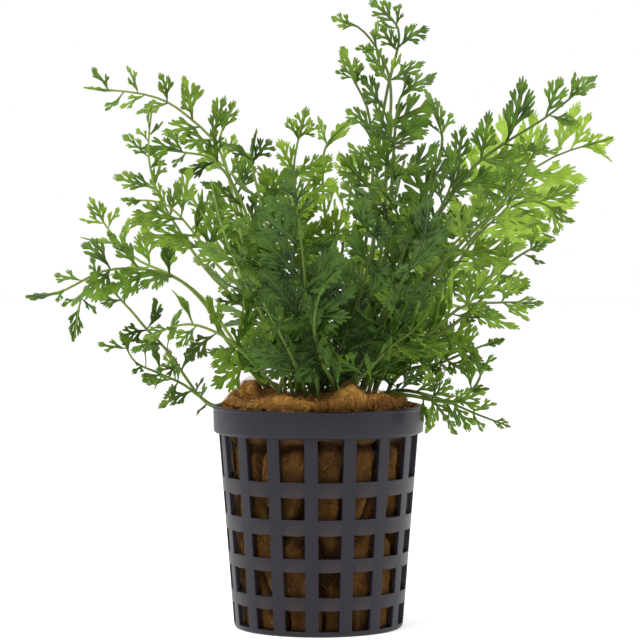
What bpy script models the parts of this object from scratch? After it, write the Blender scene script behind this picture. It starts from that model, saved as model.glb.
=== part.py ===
"""Aquarium fern with finely cut fronds, rooted in mineral wool in a slotted net pot.

Metres, +Z up. The origin is the centre of the pot's underside.
"""

import math
import random

import bmesh
import bpy
from mathutils import Quaternion, Vector
from mathutils.bvhtree import BVHTree
from mathutils.geometry import interpolate_bezier

MM = 0.001
MERGE_DISTANCE = 0.01 * MM

# Net pot
POT_HEIGHT = 52 * MM
RIM_RADIUS = 25 * MM
RIM_FOOT_RADIUS = 24.6 * MM
RIM_BAND = 6.3 * MM
BODY_TOP_RADIUS = 23.4 * MM
BODY_BASE_RADIUS = 19.8 * MM
BASE_ROUNDING = 0.8 * MM
WALL = 1.0 * MM
WINDOW_COLUMNS = 16
FIRST_WINDOW_ANGLE = math.radians(-83)
RIB_WIDTH = 3.1 * MM
# A face this close to the middle of its column, in columns, belongs to a window
COLUMN_MIDDLE = 0.2
WINDOW_ROWS = [(1.6 * MM, 6.2 * MM), (9.2 * MM, 15.1 * MM), (18.1 * MM, 23.5 * MM),
               (27.1 * MM, 32.2 * MM), (35.7 * MM, 45.1 * MM)]
BASE_SLOT_RADII = (9 * MM, 16 * MM)
POT_COLOUR = (0.030, 0.029, 0.036)
POT_ROUGHNESS = 0.42

# Mineral wool
GAP = 0.3 * MM
WOOL_SIDES = 20
WOOL_EDGE_HEIGHT = 52.4 * MM
WOOL_CROWN_HEIGHT = 54.2 * MM
WOOL_EDGE_RADIUS = 23.4 * MM
WOOL_TOP_RINGS = (19 * MM, 10 * MM, 0)
# Each lump of the wool's top: x, y, height and spread
WOOL_LUMPS = [(-15.5 * MM, 1 * MM, 4.4 * MM, 5.2 * MM), (6.5 * MM, -17 * MM, 4.4 * MM, 3.8 * MM),
              (-9 * MM, -18 * MM, 1.4 * MM, 4.5 * MM), (15 * MM, -14 * MM, 1.8 * MM, 4 * MM),
              (7 * MM, 18 * MM, 3.5 * MM, 4.5 * MM)]
POCKET_FLOOR = 48 * MM
POCKET_TOP = 64 * MM
POCKET_WIDTH = 2.3 * MM
WOOL_COLOUR = (0.42, 0.22, 0.05)
WOOL_ROUGHNESS = 0.95

# Fronds
STALK_THICKNESS = 1.3 * MM
TIP_THICKNESS = 0.6 * MM
BLADE_THICKNESS = 0.6 * MM
LEAFLET_NECK = 0.9 * MM
END_LEAFLET_WIDTH = 3.2 * MM
LEAFLET_WIDTH_SHARE = 0.42
WIDEST_AT = 0.55
CLEARANCE = 0.35 * MM
BARE_BENDS = 3
CURVE_POINTS = 9
BLADE_FOLD = math.radians(14)
FOOT_LEAN = math.radians(54)
TIP_LEAN = math.radians(36)
LEAN_SPREAD = math.radians(8)
TWIST_SPREAD = math.radians(18)
LENGTH_SWELL = 0.2
LENGTH_TAPER = 0.6
LENGTH_SPREAD = (0.78, 1.12)
FIRST_PAIR = 0.4

# Each frond: name, foot, the points its stalk passes in millimetres, the share of it that is bare,
# pairs of leaflets, leaflet length, how far its face turns from the front and tilts up, and its green
FRONDS = [
    ("tallest", (4, 1), [(11, 3, 72), (13, 5, 90), (14, 6, 110), (16, 6, 125), (19, 6, 138),
     (17, 5, 143), (12, 4, 147)], 0.52, 6, 12.5, (10, 5), "mid"),
    ("top_left", (-5, 4), [(-8, 7, 65), (-14, 9, 79), (-19, 11, 94), (-23, 12, 111),
     (-31, 12, 120), (-40, 12, 125), (-56, 12, 127)], 0.56, 6, 10.5, (-15, 10), "fresh"),
    ("right_dark", (10, -5), [(15, -10, 73), (24, -16, 91), (34, -20, 106), (41, -22, 112),
     (52, -22, 119), (63, -22, 128)], 0.50, 6, 14, (12, 8), "mid"),
    ("right_bright", (10, 7), [(18, 16, 69), (29, 26, 85), (42, 33, 98), (56, 36, 110),
     (73, 38, 116)], 0.56, 5, 19, (-20, 12), "lime"),
    ("right_lime", (7, 10), [(17, 24, 69), (30, 36, 82), (43, 44, 96), (54, 48, 106),
     (60, 50, 107), (66, 50, 104.5)], 0.48, 5, 11.5, (-10, 35), "lime"),
    ("right_olive", (10, -8), [(20, -20, 75), (31, -26, 89), (41, -28, 99), (47, -28, 108),
     (51, -28, 117)], 0.55, 4, 12, (25, 10), "fresh"),
    ("right_pointed", (13, 1), [(19, 4, 70), (30, 8, 81), (39, 10, 93), (50, 10, 100),
     (61, 10, 95)], 0.46, 5, 14, (-15, 15), "fresh"),
    ("right_mid", (13, -5), [(19, -8, 65), (29, -14, 70), (37, -17, 77), (42, -18, 84),
     (47, -18, 88), (54, -18, 91)], 0.44, 5, 12, (20, 20), "fresh"),
    ("right_low", (10, -11), [(17, -20, 65), (25, -28, 70), (32, -32, 76), (40, -34, 77),
     (50, -34, 77)], 0.36, 5, 13, (0, 40), "fresh"),
    ("right_small", (16, -2), [(20, -1, 60), (28, -4, 62), (35, -6, 65),
     (43, -6, 68)], 0.46, 4, 10, (30, 40), "fresh"),
    ("right_hooked", (14, -8), [(21, -12, 55), (27, -16, 54), (32, -18, 54), (36, -19, 58),
     (37, -19, 62), (35, -19, 67)], 0.40, 4, 9, (-40, 10), "mid"),
    ("trailing_right", (17, 5), [(20, 8, 55), (25, 11, 54), (31, 12, 52), (38, 12, 49),
     (46, 12, 46)], 0.42, 4, 9, (0, 40), "fresh"),
    ("rim_right", (17, -5), [(20, -8, 56), (26, -12, 54),
     (32, -13, 46)], 0.42, 3, 9, (20, 10), "fresh"),
    ("tall_left", (2, 5), [(8, 9, 72), (11, 13, 88), (13, 15, 106), (12, 16, 121), (8, 16, 130),
     (6, 16, 137)], 0.55, 4, 10, (-35, 5), "fresh"),
    ("tall_right", (7, -2), [(12, -6, 72), (16, -10, 91), (17, -12, 107), (18, -13, 120),
     (20, -14, 125), (27, -15, 129)], 0.52, 4, 13, (30, 5), "mid"),
    ("right_crest", (7, -6), [(14, -12, 72), (20, -18, 90), (25, -21, 103), (28, -22, 113),
     (26, -22, 120), (24, -22, 125)], 0.48, 4, 13, (45, 5), "mid"),
    ("right_upper", (8, 3), [(15, 8, 72), (24, 14, 89), (32, 18, 104),
     (35, 20, 118)], 0.48, 4, 13, (-40, 5), "mid"),
    ("left_bright", (-9, 4), [(-13, 5, 58), (-19, 8, 65), (-27, 13, 76), (-35, 18, 82),
     (-44, 22, 86), (-51, 26, 93), (-56, 28, 101)], 0.58, 4, 10, (15, 12), "bright"),
    ("far_left", (-12, -1), [(-13, -2, 57), (-21, -6, 67), (-27, -10, 77), (-35, -12, 83),
     (-48, -14, 84), (-59, -16, 79), (-67, -16, 78)], 0.52, 5, 12.5, (-10, 40), "mid"),
    ("left_rim", (-12, 13), [(-14, 18, 56), (-17, 22, 54), (-21, 24, 51), (-25, 24, 50),
     (-29, 21, 53), (-36, 12, 64), (-41, 6, 70), (-45, 3, 75), (-51, -2, 81), (-55, -4, 78),
     (-57, -5, 67)], 0.42, 6, 10, (15, 10), "mid"),
    ("low_left", (-16, 9), [(-19, 14, 54.5), (-21, 18, 52.6), (-25, 20, 50.6), (-29, 20, 53),
     (-33, 19, 56), (-39, 15, 59), (-44, 10, 62), (-47, 6, 69)], 0.55, 4, 10, (-20, 30), "fresh"),
    ("left_mid", (-9, -7), [(-12, -10, 59), (-18, -19, 66), (-23, -25, 70), (-30, -29, 72),
     (-39, -33, 69)], 0.36, 5, 13, (-10, 20), "fresh"),
    ("left_long", (0, -13), [(-1, -14, 61), (-4, -15, 67), (-10, -17, 73), (-22, -18, 84),
     (-28, -18, 92), (-35, -18, 99), (-45, -18, 100)], 0.66, 5, 12, (10, 15), "fresh"),
    ("left_shoot", (-5, -6), [(-6, -9, 60), (-16, -11, 74), (-25, -12, 83), (-32, -13, 93),
     (-37, -13, 102), (-39, -13, 111), (-38, -13, 123)], 0.64, 4, 9, (-30, 5), "fresh"),
    ("upper_left", (-4, -2), [(-7, -3, 66), (-13, -5, 84), (-18, -6, 100), (-24, -8, 109),
     (-31, -9, 111), (-41, -10, 112)], 0.52, 4, 12, (-25, 15), "mid"),
    ("left_crest", (-5, 8), [(-7, 14, 67), (-14, 18, 83), (-20, 21, 102), (-24, 22, 114),
     (-20, 22, 124)], 0.58, 4, 11, (35, 5), "bright"),
    ("left_fan", (-1, -4), [(-7, -8, 69), (-10, -14, 84), (-13, -18, 99), (-15, -20, 108),
     (-14, -22, 116)], 0.48, 4, 14, (-20, 5), "mid"),
    ("left_upright", (-6, -9), [(-9, -15, 66), (-16, -24, 80), (-21, -29, 92),
     (-24, -31, 104)], 0.36, 4, 13, (-45, 10), "mid"),
    ("centre_bright", (-1, 7), [(-4, 12, 72), (-5, 18, 91), (-6, 22, 108),
     (-3, 24, 123)], 0.52, 4, 12, (25, 5), "bright"),
    ("centre_back", (1, 10), [(0, 20, 70), (2, 29, 88), (1, 34, 105), (2, 35, 114),
     (8, 36, 120)], 0.52, 4, 12, (-50, 10), "bright"),
    ("centre_lime", (4, 9), [(4, 24, 71), (6, 32, 89), (8, 36, 103),
     (9, 38, 113)], 0.50, 4, 13, (40, 10), "lime"),
    ("front_centre", (-9, -12), [(-8, -16, 60), (-5, -22, 68), (-3, -29, 79), (-4, -34, 92),
     (-6, -38, 107)], 0.40, 4, 15, (-12, 10), "deep"),
    ("front_low", (4, -13), [(1, -24, 63), (-1, -36, 72), (1, -46, 81),
     (6, -54, 86)], 0.30, 4, 14, (10, 40), "deep"),
    ("front_right", (7, -11), [(12, -22, 67), (18, -38, 81), (23, -50, 93),
     (24, -56, 101)], 0.28, 4, 15, (35, 15), "deep"),
    ("front_middle", (3, -8), [(6, -16, 68), (10, -30, 81), (12, -42, 92),
     (11, -50, 101)], 0.30, 4, 14, (-30, 10), "deep"),
    ("front_low_left", (-3, -12), [(-5, -20, 62), (-7, -30, 67), (-10, -38, 73),
     (-12, -44, 77)], 0.26, 4, 12, (-15, 35), "deep"),
    ("front_low_right", (8, -14), [(11, -22, 61), (16, -31, 67), (21, -37, 71),
     (24, -42, 75)], 0.26, 4, 12, (20, 35), "mid"),
    ("right_back", (12, 10), [(20, 28, 65), (31, 42, 76), (43, 50, 87), (52, 54, 93),
     (60, 56, 91)], 0.40, 4, 10.5, (30, 20), "lime"),
    ("back_left", (-8, 10), [(-10, 20, 65), (-20, 36, 82), (-28, 46, 94),
     (-33, 52, 103)], 0.38, 4, 14, (150, 20), "fresh"),
    ("back_centre", (-2, 12), [(-2, 26, 66), (-6, 42, 83), (-10, 54, 97),
     (-15, 62, 106)], 0.36, 4, 14, (-170, 20), "mid"),
    ("back_right", (4, 13), [(8, 30, 67), (13, 46, 84), (19, 57, 99),
     (22, 62, 111)], 0.36, 4, 14, (-130, 20), "mid"),
    ("tall_crest", (4, -5), [(11, -1, 72), (15, 1, 90), (16, 1, 110), (17, 1, 125), (15, 1, 133),
     (10, 1, 140), (3, 1, 143)], 0.80, 3, 7, (-15, 5), "fresh"),
]

# What a leaflet may try, to stand clear: turns in the blade, lifts out of it, and sizes
TURNS = [math.radians(angle) for angle in (0, 14, -14)]
LIFTS = [math.radians(angle) for angle in (0, 20, -20, 40, -40, 60)]
SIZES = (1.0, 0.8, 0.6)
GROWTH_SEED = 7

GREENS = {
    "deep": (0.060, 0.130, 0.018),
    "mid": (0.130, 0.250, 0.030),
    "fresh": (0.220, 0.360, 0.035),
    "bright": (0.310, 0.450, 0.050),
    "lime": (0.420, 0.580, 0.100),
}
LEAF_ROUGHNESS = 0.5


def clear_scene():
    for thing in list(bpy.data.objects):
        bpy.data.objects.remove(thing, do_unlink=True)


def material(name, colour, roughness):
    made = bpy.data.materials.new(name)
    made.use_nodes = True
    shader = made.node_tree.nodes["Principled BSDF"]
    shader.inputs["Base Color"].default_value = (*colour, 1)
    shader.inputs["Roughness"].default_value = roughness
    shader.inputs["Metallic"].default_value = 0.0
    return made


def add_object(name, bm, surface):
    """Make an object of a finished bmesh."""
    bmesh.ops.recalc_face_normals(bm, faces=bm.faces)
    mesh = bpy.data.meshes.new(name)
    bm.to_mesh(mesh)
    bm.free()
    mesh.materials.append(surface)
    made = bpy.data.objects.new(name, mesh)
    bpy.context.scene.collection.objects.link(made)
    return made


def spin_profile(profile, steps):
    """Turn a list of (radius, height) points about Z into an open surface."""
    bm = bmesh.new()
    points = [bm.verts.new((radius, 0, height)) for radius, height in profile]
    edges = [bm.edges.new(pair) for pair in zip(points, points[1:])]
    bmesh.ops.spin(bm, geom=points + edges, axis=(0, 0, 1), cent=(0, 0, 0), steps=steps,
                   angle=math.tau, use_merge=True)
    bmesh.ops.remove_doubles(bm, verts=bm.verts, dist=MERGE_DISTANCE)
    return bm


def body_radius(height):
    """Outer radius of the tapered wall."""
    share = height / (POT_HEIGHT - RIM_BAND)
    return BODY_BASE_RADIUS + (BODY_TOP_RADIUS - BODY_BASE_RADIUS) * share


def make_net_pot():
    """A turned skin with its windows and base slots left open, thickened inwards."""
    band_foot = POT_HEIGHT - RIM_BAND
    profile = [(0, 0), (BASE_SLOT_RADII[0], 0), (BASE_SLOT_RADII[1], 0),
               (BODY_BASE_RADIUS - BASE_ROUNDING, 0), (BODY_BASE_RADIUS, BASE_ROUNDING)]
    for low, high in WINDOW_ROWS:
        profile += [(body_radius(low), low), (body_radius(high), high)]
    profile += [(BODY_TOP_RADIUS, band_foot), (RIM_FOOT_RADIUS, band_foot), (RIM_RADIUS, POT_HEIGHT)]
    bm = spin_profile(profile, 2 * WINDOW_COLUMNS)

    # Every other column is a window. Its edges move until the ribs have one width.
    pitch = math.tau / WINDOW_COLUMNS
    for vert in bm.verts:
        radius = vert.co.xy.length
        if radius < BASE_SLOT_RADII[0] / 2:
            continue
        column = round(math.atan2(vert.co.y, vert.co.x) / (pitch / 2))
        side = 1 if column % 2 else -1
        middle = FIRST_WINDOW_ANGLE + pitch * (column // 2 if side > 0 else column / 2)
        half_window = (pitch - RIB_WIDTH / max(radius, BASE_SLOT_RADII[1])) / 2
        angle = middle + side * half_window
        vert.co.x = radius * math.cos(angle)
        vert.co.y = radius * math.sin(angle)

    openings = []
    for face in bm.faces:
        middle = face.calc_center_median()
        turns = (math.atan2(middle.y, middle.x) - FIRST_WINDOW_ANGLE) / pitch
        in_window_column = abs(turns - round(turns)) < COLUMN_MIDDLE
        in_row = any(low < middle.z < high for low, high in WINDOW_ROWS)
        in_slot = middle.z < WALL / 10 and BASE_SLOT_RADII[0] < middle.xy.length < BASE_SLOT_RADII[1]
        if in_window_column and (in_row or in_slot):
            openings.append(face)
    bmesh.ops.delete(bm, geom=openings, context="FACES")

    pot = add_object("net_pot", bm, material("net_pot", POT_COLOUR, POT_ROUGHNESS))
    thick = pot.modifiers.new("wall", "SOLIDIFY")
    thick.thickness = WALL
    thick.offset = -1
    thick.use_even_offset = True
    return pot


def wool_height(x, y):
    """The lumpy top of the wool above a point."""
    away = math.hypot(x, y) / WOOL_EDGE_RADIUS
    height = WOOL_CROWN_HEIGHT + (WOOL_EDGE_HEIGHT - WOOL_CROWN_HEIGHT) * away ** 2
    for lump_x, lump_y, rise, spread in WOOL_LUMPS:
        height += rise * math.exp(-((x - lump_x) ** 2 + (y - lump_y) ** 2) / spread ** 2)
    return height


def make_mineral_wool():
    """A wad turned to the pot's inside, with its top raised into lumps."""
    inner_base = BODY_BASE_RADIUS - WALL - GAP
    neck_height = POT_HEIGHT - RIM_BAND - 2 * WALL
    profile = [(0, WALL + GAP), (inner_base - BASE_ROUNDING, WALL + GAP),
               (inner_base, WALL + GAP + BASE_ROUNDING),
               (body_radius(neck_height) - WALL - GAP, neck_height),
               (body_radius(neck_height) - WALL - GAP, POT_HEIGHT - RIM_BAND + GAP),
               (WOOL_EDGE_RADIUS, POT_HEIGHT - RIM_BAND / 3),
               (WOOL_EDGE_RADIUS, WOOL_EDGE_HEIGHT)]
    profile += [(radius, WOOL_CROWN_HEIGHT) for radius in WOOL_TOP_RINGS]
    bm = spin_profile(profile, WOOL_SIDES)
    for vert in bm.verts:
        if vert.co.z > POT_HEIGHT:
            vert.co.z = wool_height(vert.co.x, vert.co.y)
    return add_object("mineral_wool", bm, material("mineral_wool", WOOL_COLOUR, WOOL_ROUGHNESS))


def smooth_path(approach, points):
    """Closely spaced points on a smooth curve through the given ones, entered from approach."""
    around = [approach] + points + [2 * points[-1] - points[-2]]
    path = []
    for before, start, stop, after in zip(around, around[1:], around[2:], around[3:]):
        leaving = start + (stop - before) / 6
        arriving = stop - (after - start) / 6
        path += interpolate_bezier(start, leaving, arriving, stop, CURVE_POINTS)[:-1]
    return path + [points[-1]]


def point_at(path, share):
    """The point a share of the way along a path, and the path's heading there."""
    steps = [(b - a).length for a, b in zip(path, path[1:])]
    left = share * sum(steps)
    index = 0
    while left > steps[index] and index < len(steps) - 1:
        left -= steps[index]
        index += 1
    start, stop = path[index], path[index + 1]
    before = path[max(index - 1, 0)]
    after = path[min(index + 2, len(path) - 1)]
    return start.lerp(stop, left / steps[index]), (after - before).normalized()


def stalk_path(foot, route):
    """The stalk's line: straight up through the wool, then along its route."""
    x, y = foot[0] * MM, foot[1] * MM
    start = Vector((x, y, POCKET_FLOOR + GAP))
    surface = Vector((x, y, wool_height(x, y) + STALK_THICKNESS))
    points = [surface] + [Vector(point) * MM for point in route]
    straight_up = surface - Vector((0, 0, (points[1] - surface).length))
    return [start] + smooth_path(straight_up, points)


def face_direction(turn, tilt):
    """The way a blade's upper side faces, from its turn about Z and its tilt, in degrees."""
    turn = math.radians(turn)
    tilt = math.radians(tilt)
    return Vector((math.sin(turn) * math.cos(tilt), -math.cos(turn) * math.cos(tilt), math.sin(tilt)))


def blade_axes(heading, facing):
    """The blade's outward side and its upper side, square to its heading."""
    upper = (facing - heading * facing.dot(heading)).normalized()
    return heading.cross(upper), upper


def leaflet_pairs(path, bare, pairs, reach, facing, dice):
    """The share of the stalk where each pair stands, and its two leaflets as they would grow."""
    plan = []
    spacing = (1 - bare) / (pairs + 0.5)
    for pair in range(pairs):
        share = bare + spacing * (pair + FIRST_PAIR)
        base, heading = point_at(path, share)
        out, upper = blade_axes(heading, facing)
        growth = pair / (pairs - 1)
        length = reach * MM * (1 + LENGTH_SWELL * growth - LENGTH_TAPER * growth ** 2)
        angle = FOOT_LEAN + (TIP_LEAN - FOOT_LEAN) * growth
        for side in (-1, 1):
            fold = Quaternion(heading, -side * BLADE_FOLD)
            lean = angle + dice.uniform(-LEAN_SPREAD, LEAN_SPREAD)
            forward = fold @ (heading * math.cos(lean) + out * side * math.sin(lean))
            twist = Quaternion(forward, dice.uniform(-TWIST_SPREAD, TWIST_SPREAD))
            size = length * dice.uniform(*LENGTH_SPREAD)
            plan.append((share, side, base, heading, forward, twist @ fold @ upper, size))
    return plan


def kite(base, forward, upper, length, margin):
    """Corners and faces of a flat leaflet: a narrow neck, its widest part and its tip."""
    across = upper.cross(forward)
    neck = across * (LEAFLET_NECK / 2 + margin)
    widest = across * (length * LEAFLET_WIDTH_SHARE / 2 + margin)
    rise = upper * (BLADE_THICKNESS / 2 + margin)
    middle = base + forward * length * WIDEST_AT
    start = base + forward * STALK_THICKNESS / 2
    tip = base + forward * (length + margin)
    corners = [start - neck - rise, start + neck - rise, start + neck + rise, start - neck + rise,
               middle - widest - rise, middle + widest - rise, middle + widest + rise,
               middle - widest + rise, tip]
    faces = [(0, 1, 2, 3), (0, 4, 5, 1), (1, 5, 6, 2), (2, 6, 7, 3), (3, 7, 4, 0),
             (4, 8, 5), (5, 8, 6), (6, 8, 7), (7, 8, 4)]
    return corners, faces


def reaches_pot(corners):
    """Whether a leaflet dips into the pot's mouth or the wool."""
    for corner in corners:
        inside = corner.xy.length < RIM_RADIUS + GAP
        if inside and corner.z < max(wool_height(corner.x, corner.y), POT_HEIGHT) + GAP:
            return True
    return False


def grow_leaflets(plan, shares, rings, tip, others):
    """Swing each leaflet clear of what already stands, shorten it, or leave it out."""
    grown = []
    trees = []
    end_tree = stalk_tree([rings[-1], end_corners(rings[-1], tip), [tip] * 3])
    for share, side, base, heading, forward, upper, length in plan:
        below = sum(1 for ring_share in shares if ring_share < share)
        before = [low.lerp(high, 0.5) for low, high in zip(rings[below - 2], rings[below - 1])]
        after = [low.lerp(high, 0.5) for low, high in zip(rings[below], rings[below + 1])]
        own_stalk = [stalk_tree(rings[:below - 1] + [before]),
                     stalk_tree([after] + rings[below + 1:]), end_tree]
        choices = [(size, turn, lift) for size in SIZES for lift in LIFTS for turn in TURNS]
        for size, turn, lift in choices:
            raised = Quaternion(heading, lift * side)
            new_upper = raised @ upper
            new_forward = Quaternion(new_upper, turn * side) @ (raised @ forward)
            corners, faces = kite(base, new_forward, new_upper, length * size, CLEARANCE)
            tree = BVHTree.FromPolygons(corners, faces)
            if reaches_pot(corners) or any(tree.overlap(other) for other in others + own_stalk + trees):
                continue
            grown.append((share, side, base, new_forward, new_upper, length * size))
            trees.append(BVHTree.FromPolygons(*kite(base, new_forward, new_upper, length * size, 0)))
            break
    return grown, trees


def stalk_rings(path, plan, facing):
    """Three-cornered rings along the stalk, two close together wherever a pair of leaflets stands."""
    total = sum((b - a).length for a, b in zip(path, path[1:]))
    half_neck = LEAFLET_NECK / 2 / total
    pairs = sorted({leaflet[0] for leaflet in plan})
    surface = (path[1] - path[0]).length / total
    bends = [surface + (pairs[0] - surface) * step / BARE_BENDS for step in range(BARE_BENDS)]
    shares = [0] + bends + [share + shift for share in pairs for shift in (-half_neck, half_neck)]
    shares.append((2 * pairs[-1] + 1) / 3)
    rings = []
    for share in shares:
        middle, heading = point_at(path, share)
        out, upper = blade_axes(heading, facing)
        half = (STALK_THICKNESS + (TIP_THICKNESS - STALK_THICKNESS) * share) / 2
        rings.append([middle + half * (out * a + upper * b)
                      for a, b in ((-1, -1), (1, -1), (0, 1))])
    return shares, rings


def stalk_tree(rings):
    """A search tree of the stalk's three sides."""
    corners = [corner for ring in rings for corner in ring]
    faces = []
    for first in range(0, len(corners) - 3, 3):
        for side in range(3):
            after = (side + 1) % 3
            faces.append((first + side, first + after, first + 3 + after, first + 3 + side))
    return BVHTree.FromPolygons(corners, faces)


def end_corners(ring, tip):
    """The widest part of the end leaflet, halfway from the last ring to the tip."""
    centre = (ring[0] + ring[1] + ring[2]) / 3
    upper = (ring[2] - centre).normalized()
    across = (tip - centre).normalized().cross(upper)
    return [(centre + tip) / 2 + across * END_LEAFLET_WIDTH / 2 * a + upper * BLADE_THICKNESS / 2 * b
            for a, b in ((-1, -1), (1, -1), (0, 1))]


def extrude_to(bm, face, places):
    """Extrude a face and put the corners of its new end at the given places."""
    end = bmesh.ops.extrude_discrete_faces(bm, faces=[face])["faces"][0]
    for vert, place in zip(end.verts, places):
        vert.co = place
    return end


def draw_out(bm, face, tip):
    """Close a face to a point."""
    centre = bmesh.ops.poke(bm, faces=[face])["verts"][0]
    centre.co = tip


def make_frond(name, shares, rings, leaflets, tip, green):
    """Extrude the stalk from ring to ring, then its leaflets from its sides."""
    bm = bmesh.new()
    end = bm.faces.new([bm.verts.new(corner) for corner in rings[0]])
    foot = list(end.verts)
    corners = [foot]
    for ring in rings[1:]:
        end = extrude_to(bm, end, ring)
        corners.append(list(end.verts))
    places = end_corners(rings[-1], tip)
    draw_out(bm, extrude_to(bm, end, places), tip)
    bm.faces.new(foot)
    for share, side, base, forward, upper, length in leaflets:
        across = upper.cross(forward)
        lower = sum(1 for ring_share in shares if ring_share < share) - 1
        first, last = (1, 2) if side > 0 else (0, 2)
        wall = {corners[lower][first], corners[lower][last],
                corners[lower + 1][first], corners[lower + 1][last]}
        face = next(face for face in corners[lower][first].link_faces if set(face.verts) == wall)
        middle = base + forward * length * WIDEST_AT
        places = []
        for vert in face.verts:
            offset = vert.co - face.calc_center_median()
            along = math.copysign(length * LEAFLET_WIDTH_SHARE / 2, offset.dot(across))
            rise = math.copysign(BLADE_THICKNESS / 2, offset.dot(upper))
            places.append(middle + across * along + upper * rise)
        draw_out(bm, extrude_to(bm, face, places), base + forward * length)
    return add_object(name, bm, material(name, GREENS[green], LEAF_ROUGHNESS))


def make_pockets(feet):
    """Square pits for the frond feet, as one cutter."""
    bm = bmesh.new()
    for x, y in feet:
        made = bmesh.ops.create_cube(bm, size=1)["verts"]
        bmesh.ops.scale(bm, verts=made, vec=(POCKET_WIDTH, POCKET_WIDTH, POCKET_TOP - POCKET_FLOOR))
        bmesh.ops.translate(bm, verts=made, vec=(x * MM, y * MM, (POCKET_TOP + POCKET_FLOOR) / 2))
    cutter = add_object("pocket_cutter", bm, material("cutter", (1, 1, 1), 1))
    cutter.hide_render = True
    cutter.display_type = "WIRE"
    return cutter


def build():
    clear_scene()
    make_net_pot()
    wool = make_mineral_wool()
    pockets = wool.modifiers.new("stalk pockets", "BOOLEAN")
    pockets.operation = "DIFFERENCE"
    pockets.solver = "EXACT"
    pockets.object = make_pockets([frond[1] for frond in FRONDS])

    # All stalks stand first. The leaflets then fill in, frond by frond.
    dice = random.Random(GROWTH_SEED)
    stalks = []
    for name, foot, route, bare, pairs, reach, turns, green in FRONDS:
        path = stalk_path(foot, route)
        facing = face_direction(*turns)
        plan = leaflet_pairs(path, bare, pairs, reach, facing, dice)
        shares, rings = stalk_rings(path, plan, facing)
        stalks.append((name, path, plan, shares, rings, stalk_tree(rings), green))
    leaflet_trees = []
    for name, path, plan, shares, rings, own_tree, green in stalks:
        others = [stalk[5] for stalk in stalks if stalk[0] != name] + leaflet_trees
        leaflets, trees = grow_leaflets(plan, shares, rings, path[-1], others)
        leaflet_trees += trees
        make_frond("frond_" + name, shares, rings, leaflets, path[-1], green)


build()
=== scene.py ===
"""Looks of the potted aquarium fern: finely cut fronds rooted in mineral wool, in a slotted net pot."""

import math
import random
from itertools import product

import bmesh
import bpy
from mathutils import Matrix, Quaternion, Vector, noise
from mathutils.bvhtree import BVHTree
from mathutils.geometry import interpolate_bezier


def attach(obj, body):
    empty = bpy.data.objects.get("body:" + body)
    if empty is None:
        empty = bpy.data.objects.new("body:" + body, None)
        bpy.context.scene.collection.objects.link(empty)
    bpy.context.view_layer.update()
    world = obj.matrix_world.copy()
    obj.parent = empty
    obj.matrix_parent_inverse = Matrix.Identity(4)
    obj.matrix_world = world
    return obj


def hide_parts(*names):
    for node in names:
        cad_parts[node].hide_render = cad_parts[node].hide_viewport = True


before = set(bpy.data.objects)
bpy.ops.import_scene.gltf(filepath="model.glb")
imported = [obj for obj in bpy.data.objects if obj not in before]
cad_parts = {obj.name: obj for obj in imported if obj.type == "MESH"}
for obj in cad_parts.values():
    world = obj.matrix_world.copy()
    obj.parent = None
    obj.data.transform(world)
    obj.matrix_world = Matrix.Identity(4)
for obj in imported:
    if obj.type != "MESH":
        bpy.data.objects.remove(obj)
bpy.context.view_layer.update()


# Net pot
# A tapered basket moulded in one shot from dark grey polypropylene: sixteen ribs cross five rows
# of square windows under a plain rim band with a thin lip, and radial slots drain the base.

MM = 0.001
SAME_PLACE = 0.01 * MM
POT_HEIGHT = 52 * MM
RIM_RADIUS = 25 * MM
RIM_FOOT_RADIUS = 24.6 * MM
RIM_BAND = 6.3 * MM
RIM_ROUNDING = 0.7 * MM
LIP_HEIGHT = 0.7 * MM
LIP_STEP = 0.3 * MM
BODY_TOP_RADIUS = 23.4 * MM
BODY_BASE_RADIUS = 19.8 * MM
BASE_ROUNDING = 0.8 * MM
WALL = 1.0 * MM
INNER_SILL = 1.2 * WALL
BASE_TOP = 1.1 * WALL
WINDOW_COLUMNS = 16
FIRST_WINDOW_ANGLE = math.radians(-83)
RIB_WIDTH = 3.1 * MM
WINDOW_ROWS = [(1.3 * MM, 6.2 * MM), (9.2 * MM, 15.1 * MM), (18.1 * MM, 23.5 * MM),
               (27.1 * MM, 32.2 * MM), (35.7 * MM, 45.4 * MM)]
WINDOW_SAG = 0.14 * MM
BASE_SLOT_RADII = (9 * MM, 16 * MM)
STEPS_PER_WINDOW = 4
WINDOW_SLACK = 0.02
ARC_STEPS = 4
EDGE_BEVEL = 0.16 * MM
EDGE_BEVEL_ANGLE = math.radians(50)
POT_GREYS = ((0.0085, 0.0070, 0.0122, 1), (0.0135, 0.0113, 0.0190, 1))
# The brown of the wool, painted on the window tops as its reflection
WOOL_REFLECTION = (0.042, 0.027, 0.022, 1)
# Most values of a noise texture lie between these
CLOUD_RANGE = (0.3, 0.7)


def body_radius(height):
    """Outer radius of the tapered wall."""
    share = height / (POT_HEIGHT - RIM_BAND)
    return BODY_BASE_RADIUS + (BODY_TOP_RADIUS - BODY_BASE_RADIUS) * share


def arc(centre_radius, centre_height, radius, first, last):
    """Points of a small rounding in a turned profile, between two angles in degrees."""
    points = []
    for step in range(ARC_STEPS + 1):
        angle = math.radians(first + (last - first) * step / ARC_STEPS)
        points.append((centre_radius + radius * math.cos(angle), centre_height + radius * math.sin(angle)))
    return points


def spin_profile(profile, steps):
    """Turn a list of (radius, height) points about Z into a surface."""
    bm = bmesh.new()
    points = [bm.verts.new((radius, 0, height)) for radius, height in profile]
    edges = [bm.edges.new(pair) for pair in zip(points, points[1:])]
    bmesh.ops.spin(bm, geom=points + edges, axis=(0, 0, 1), cent=(0, 0, 0), steps=steps,
                   angle=math.tau, use_merge=True)
    bmesh.ops.remove_doubles(bm, verts=bm.verts, dist=SAME_PLACE)
    bmesh.ops.recalc_face_normals(bm, faces=bm.faces)
    return bm


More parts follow.
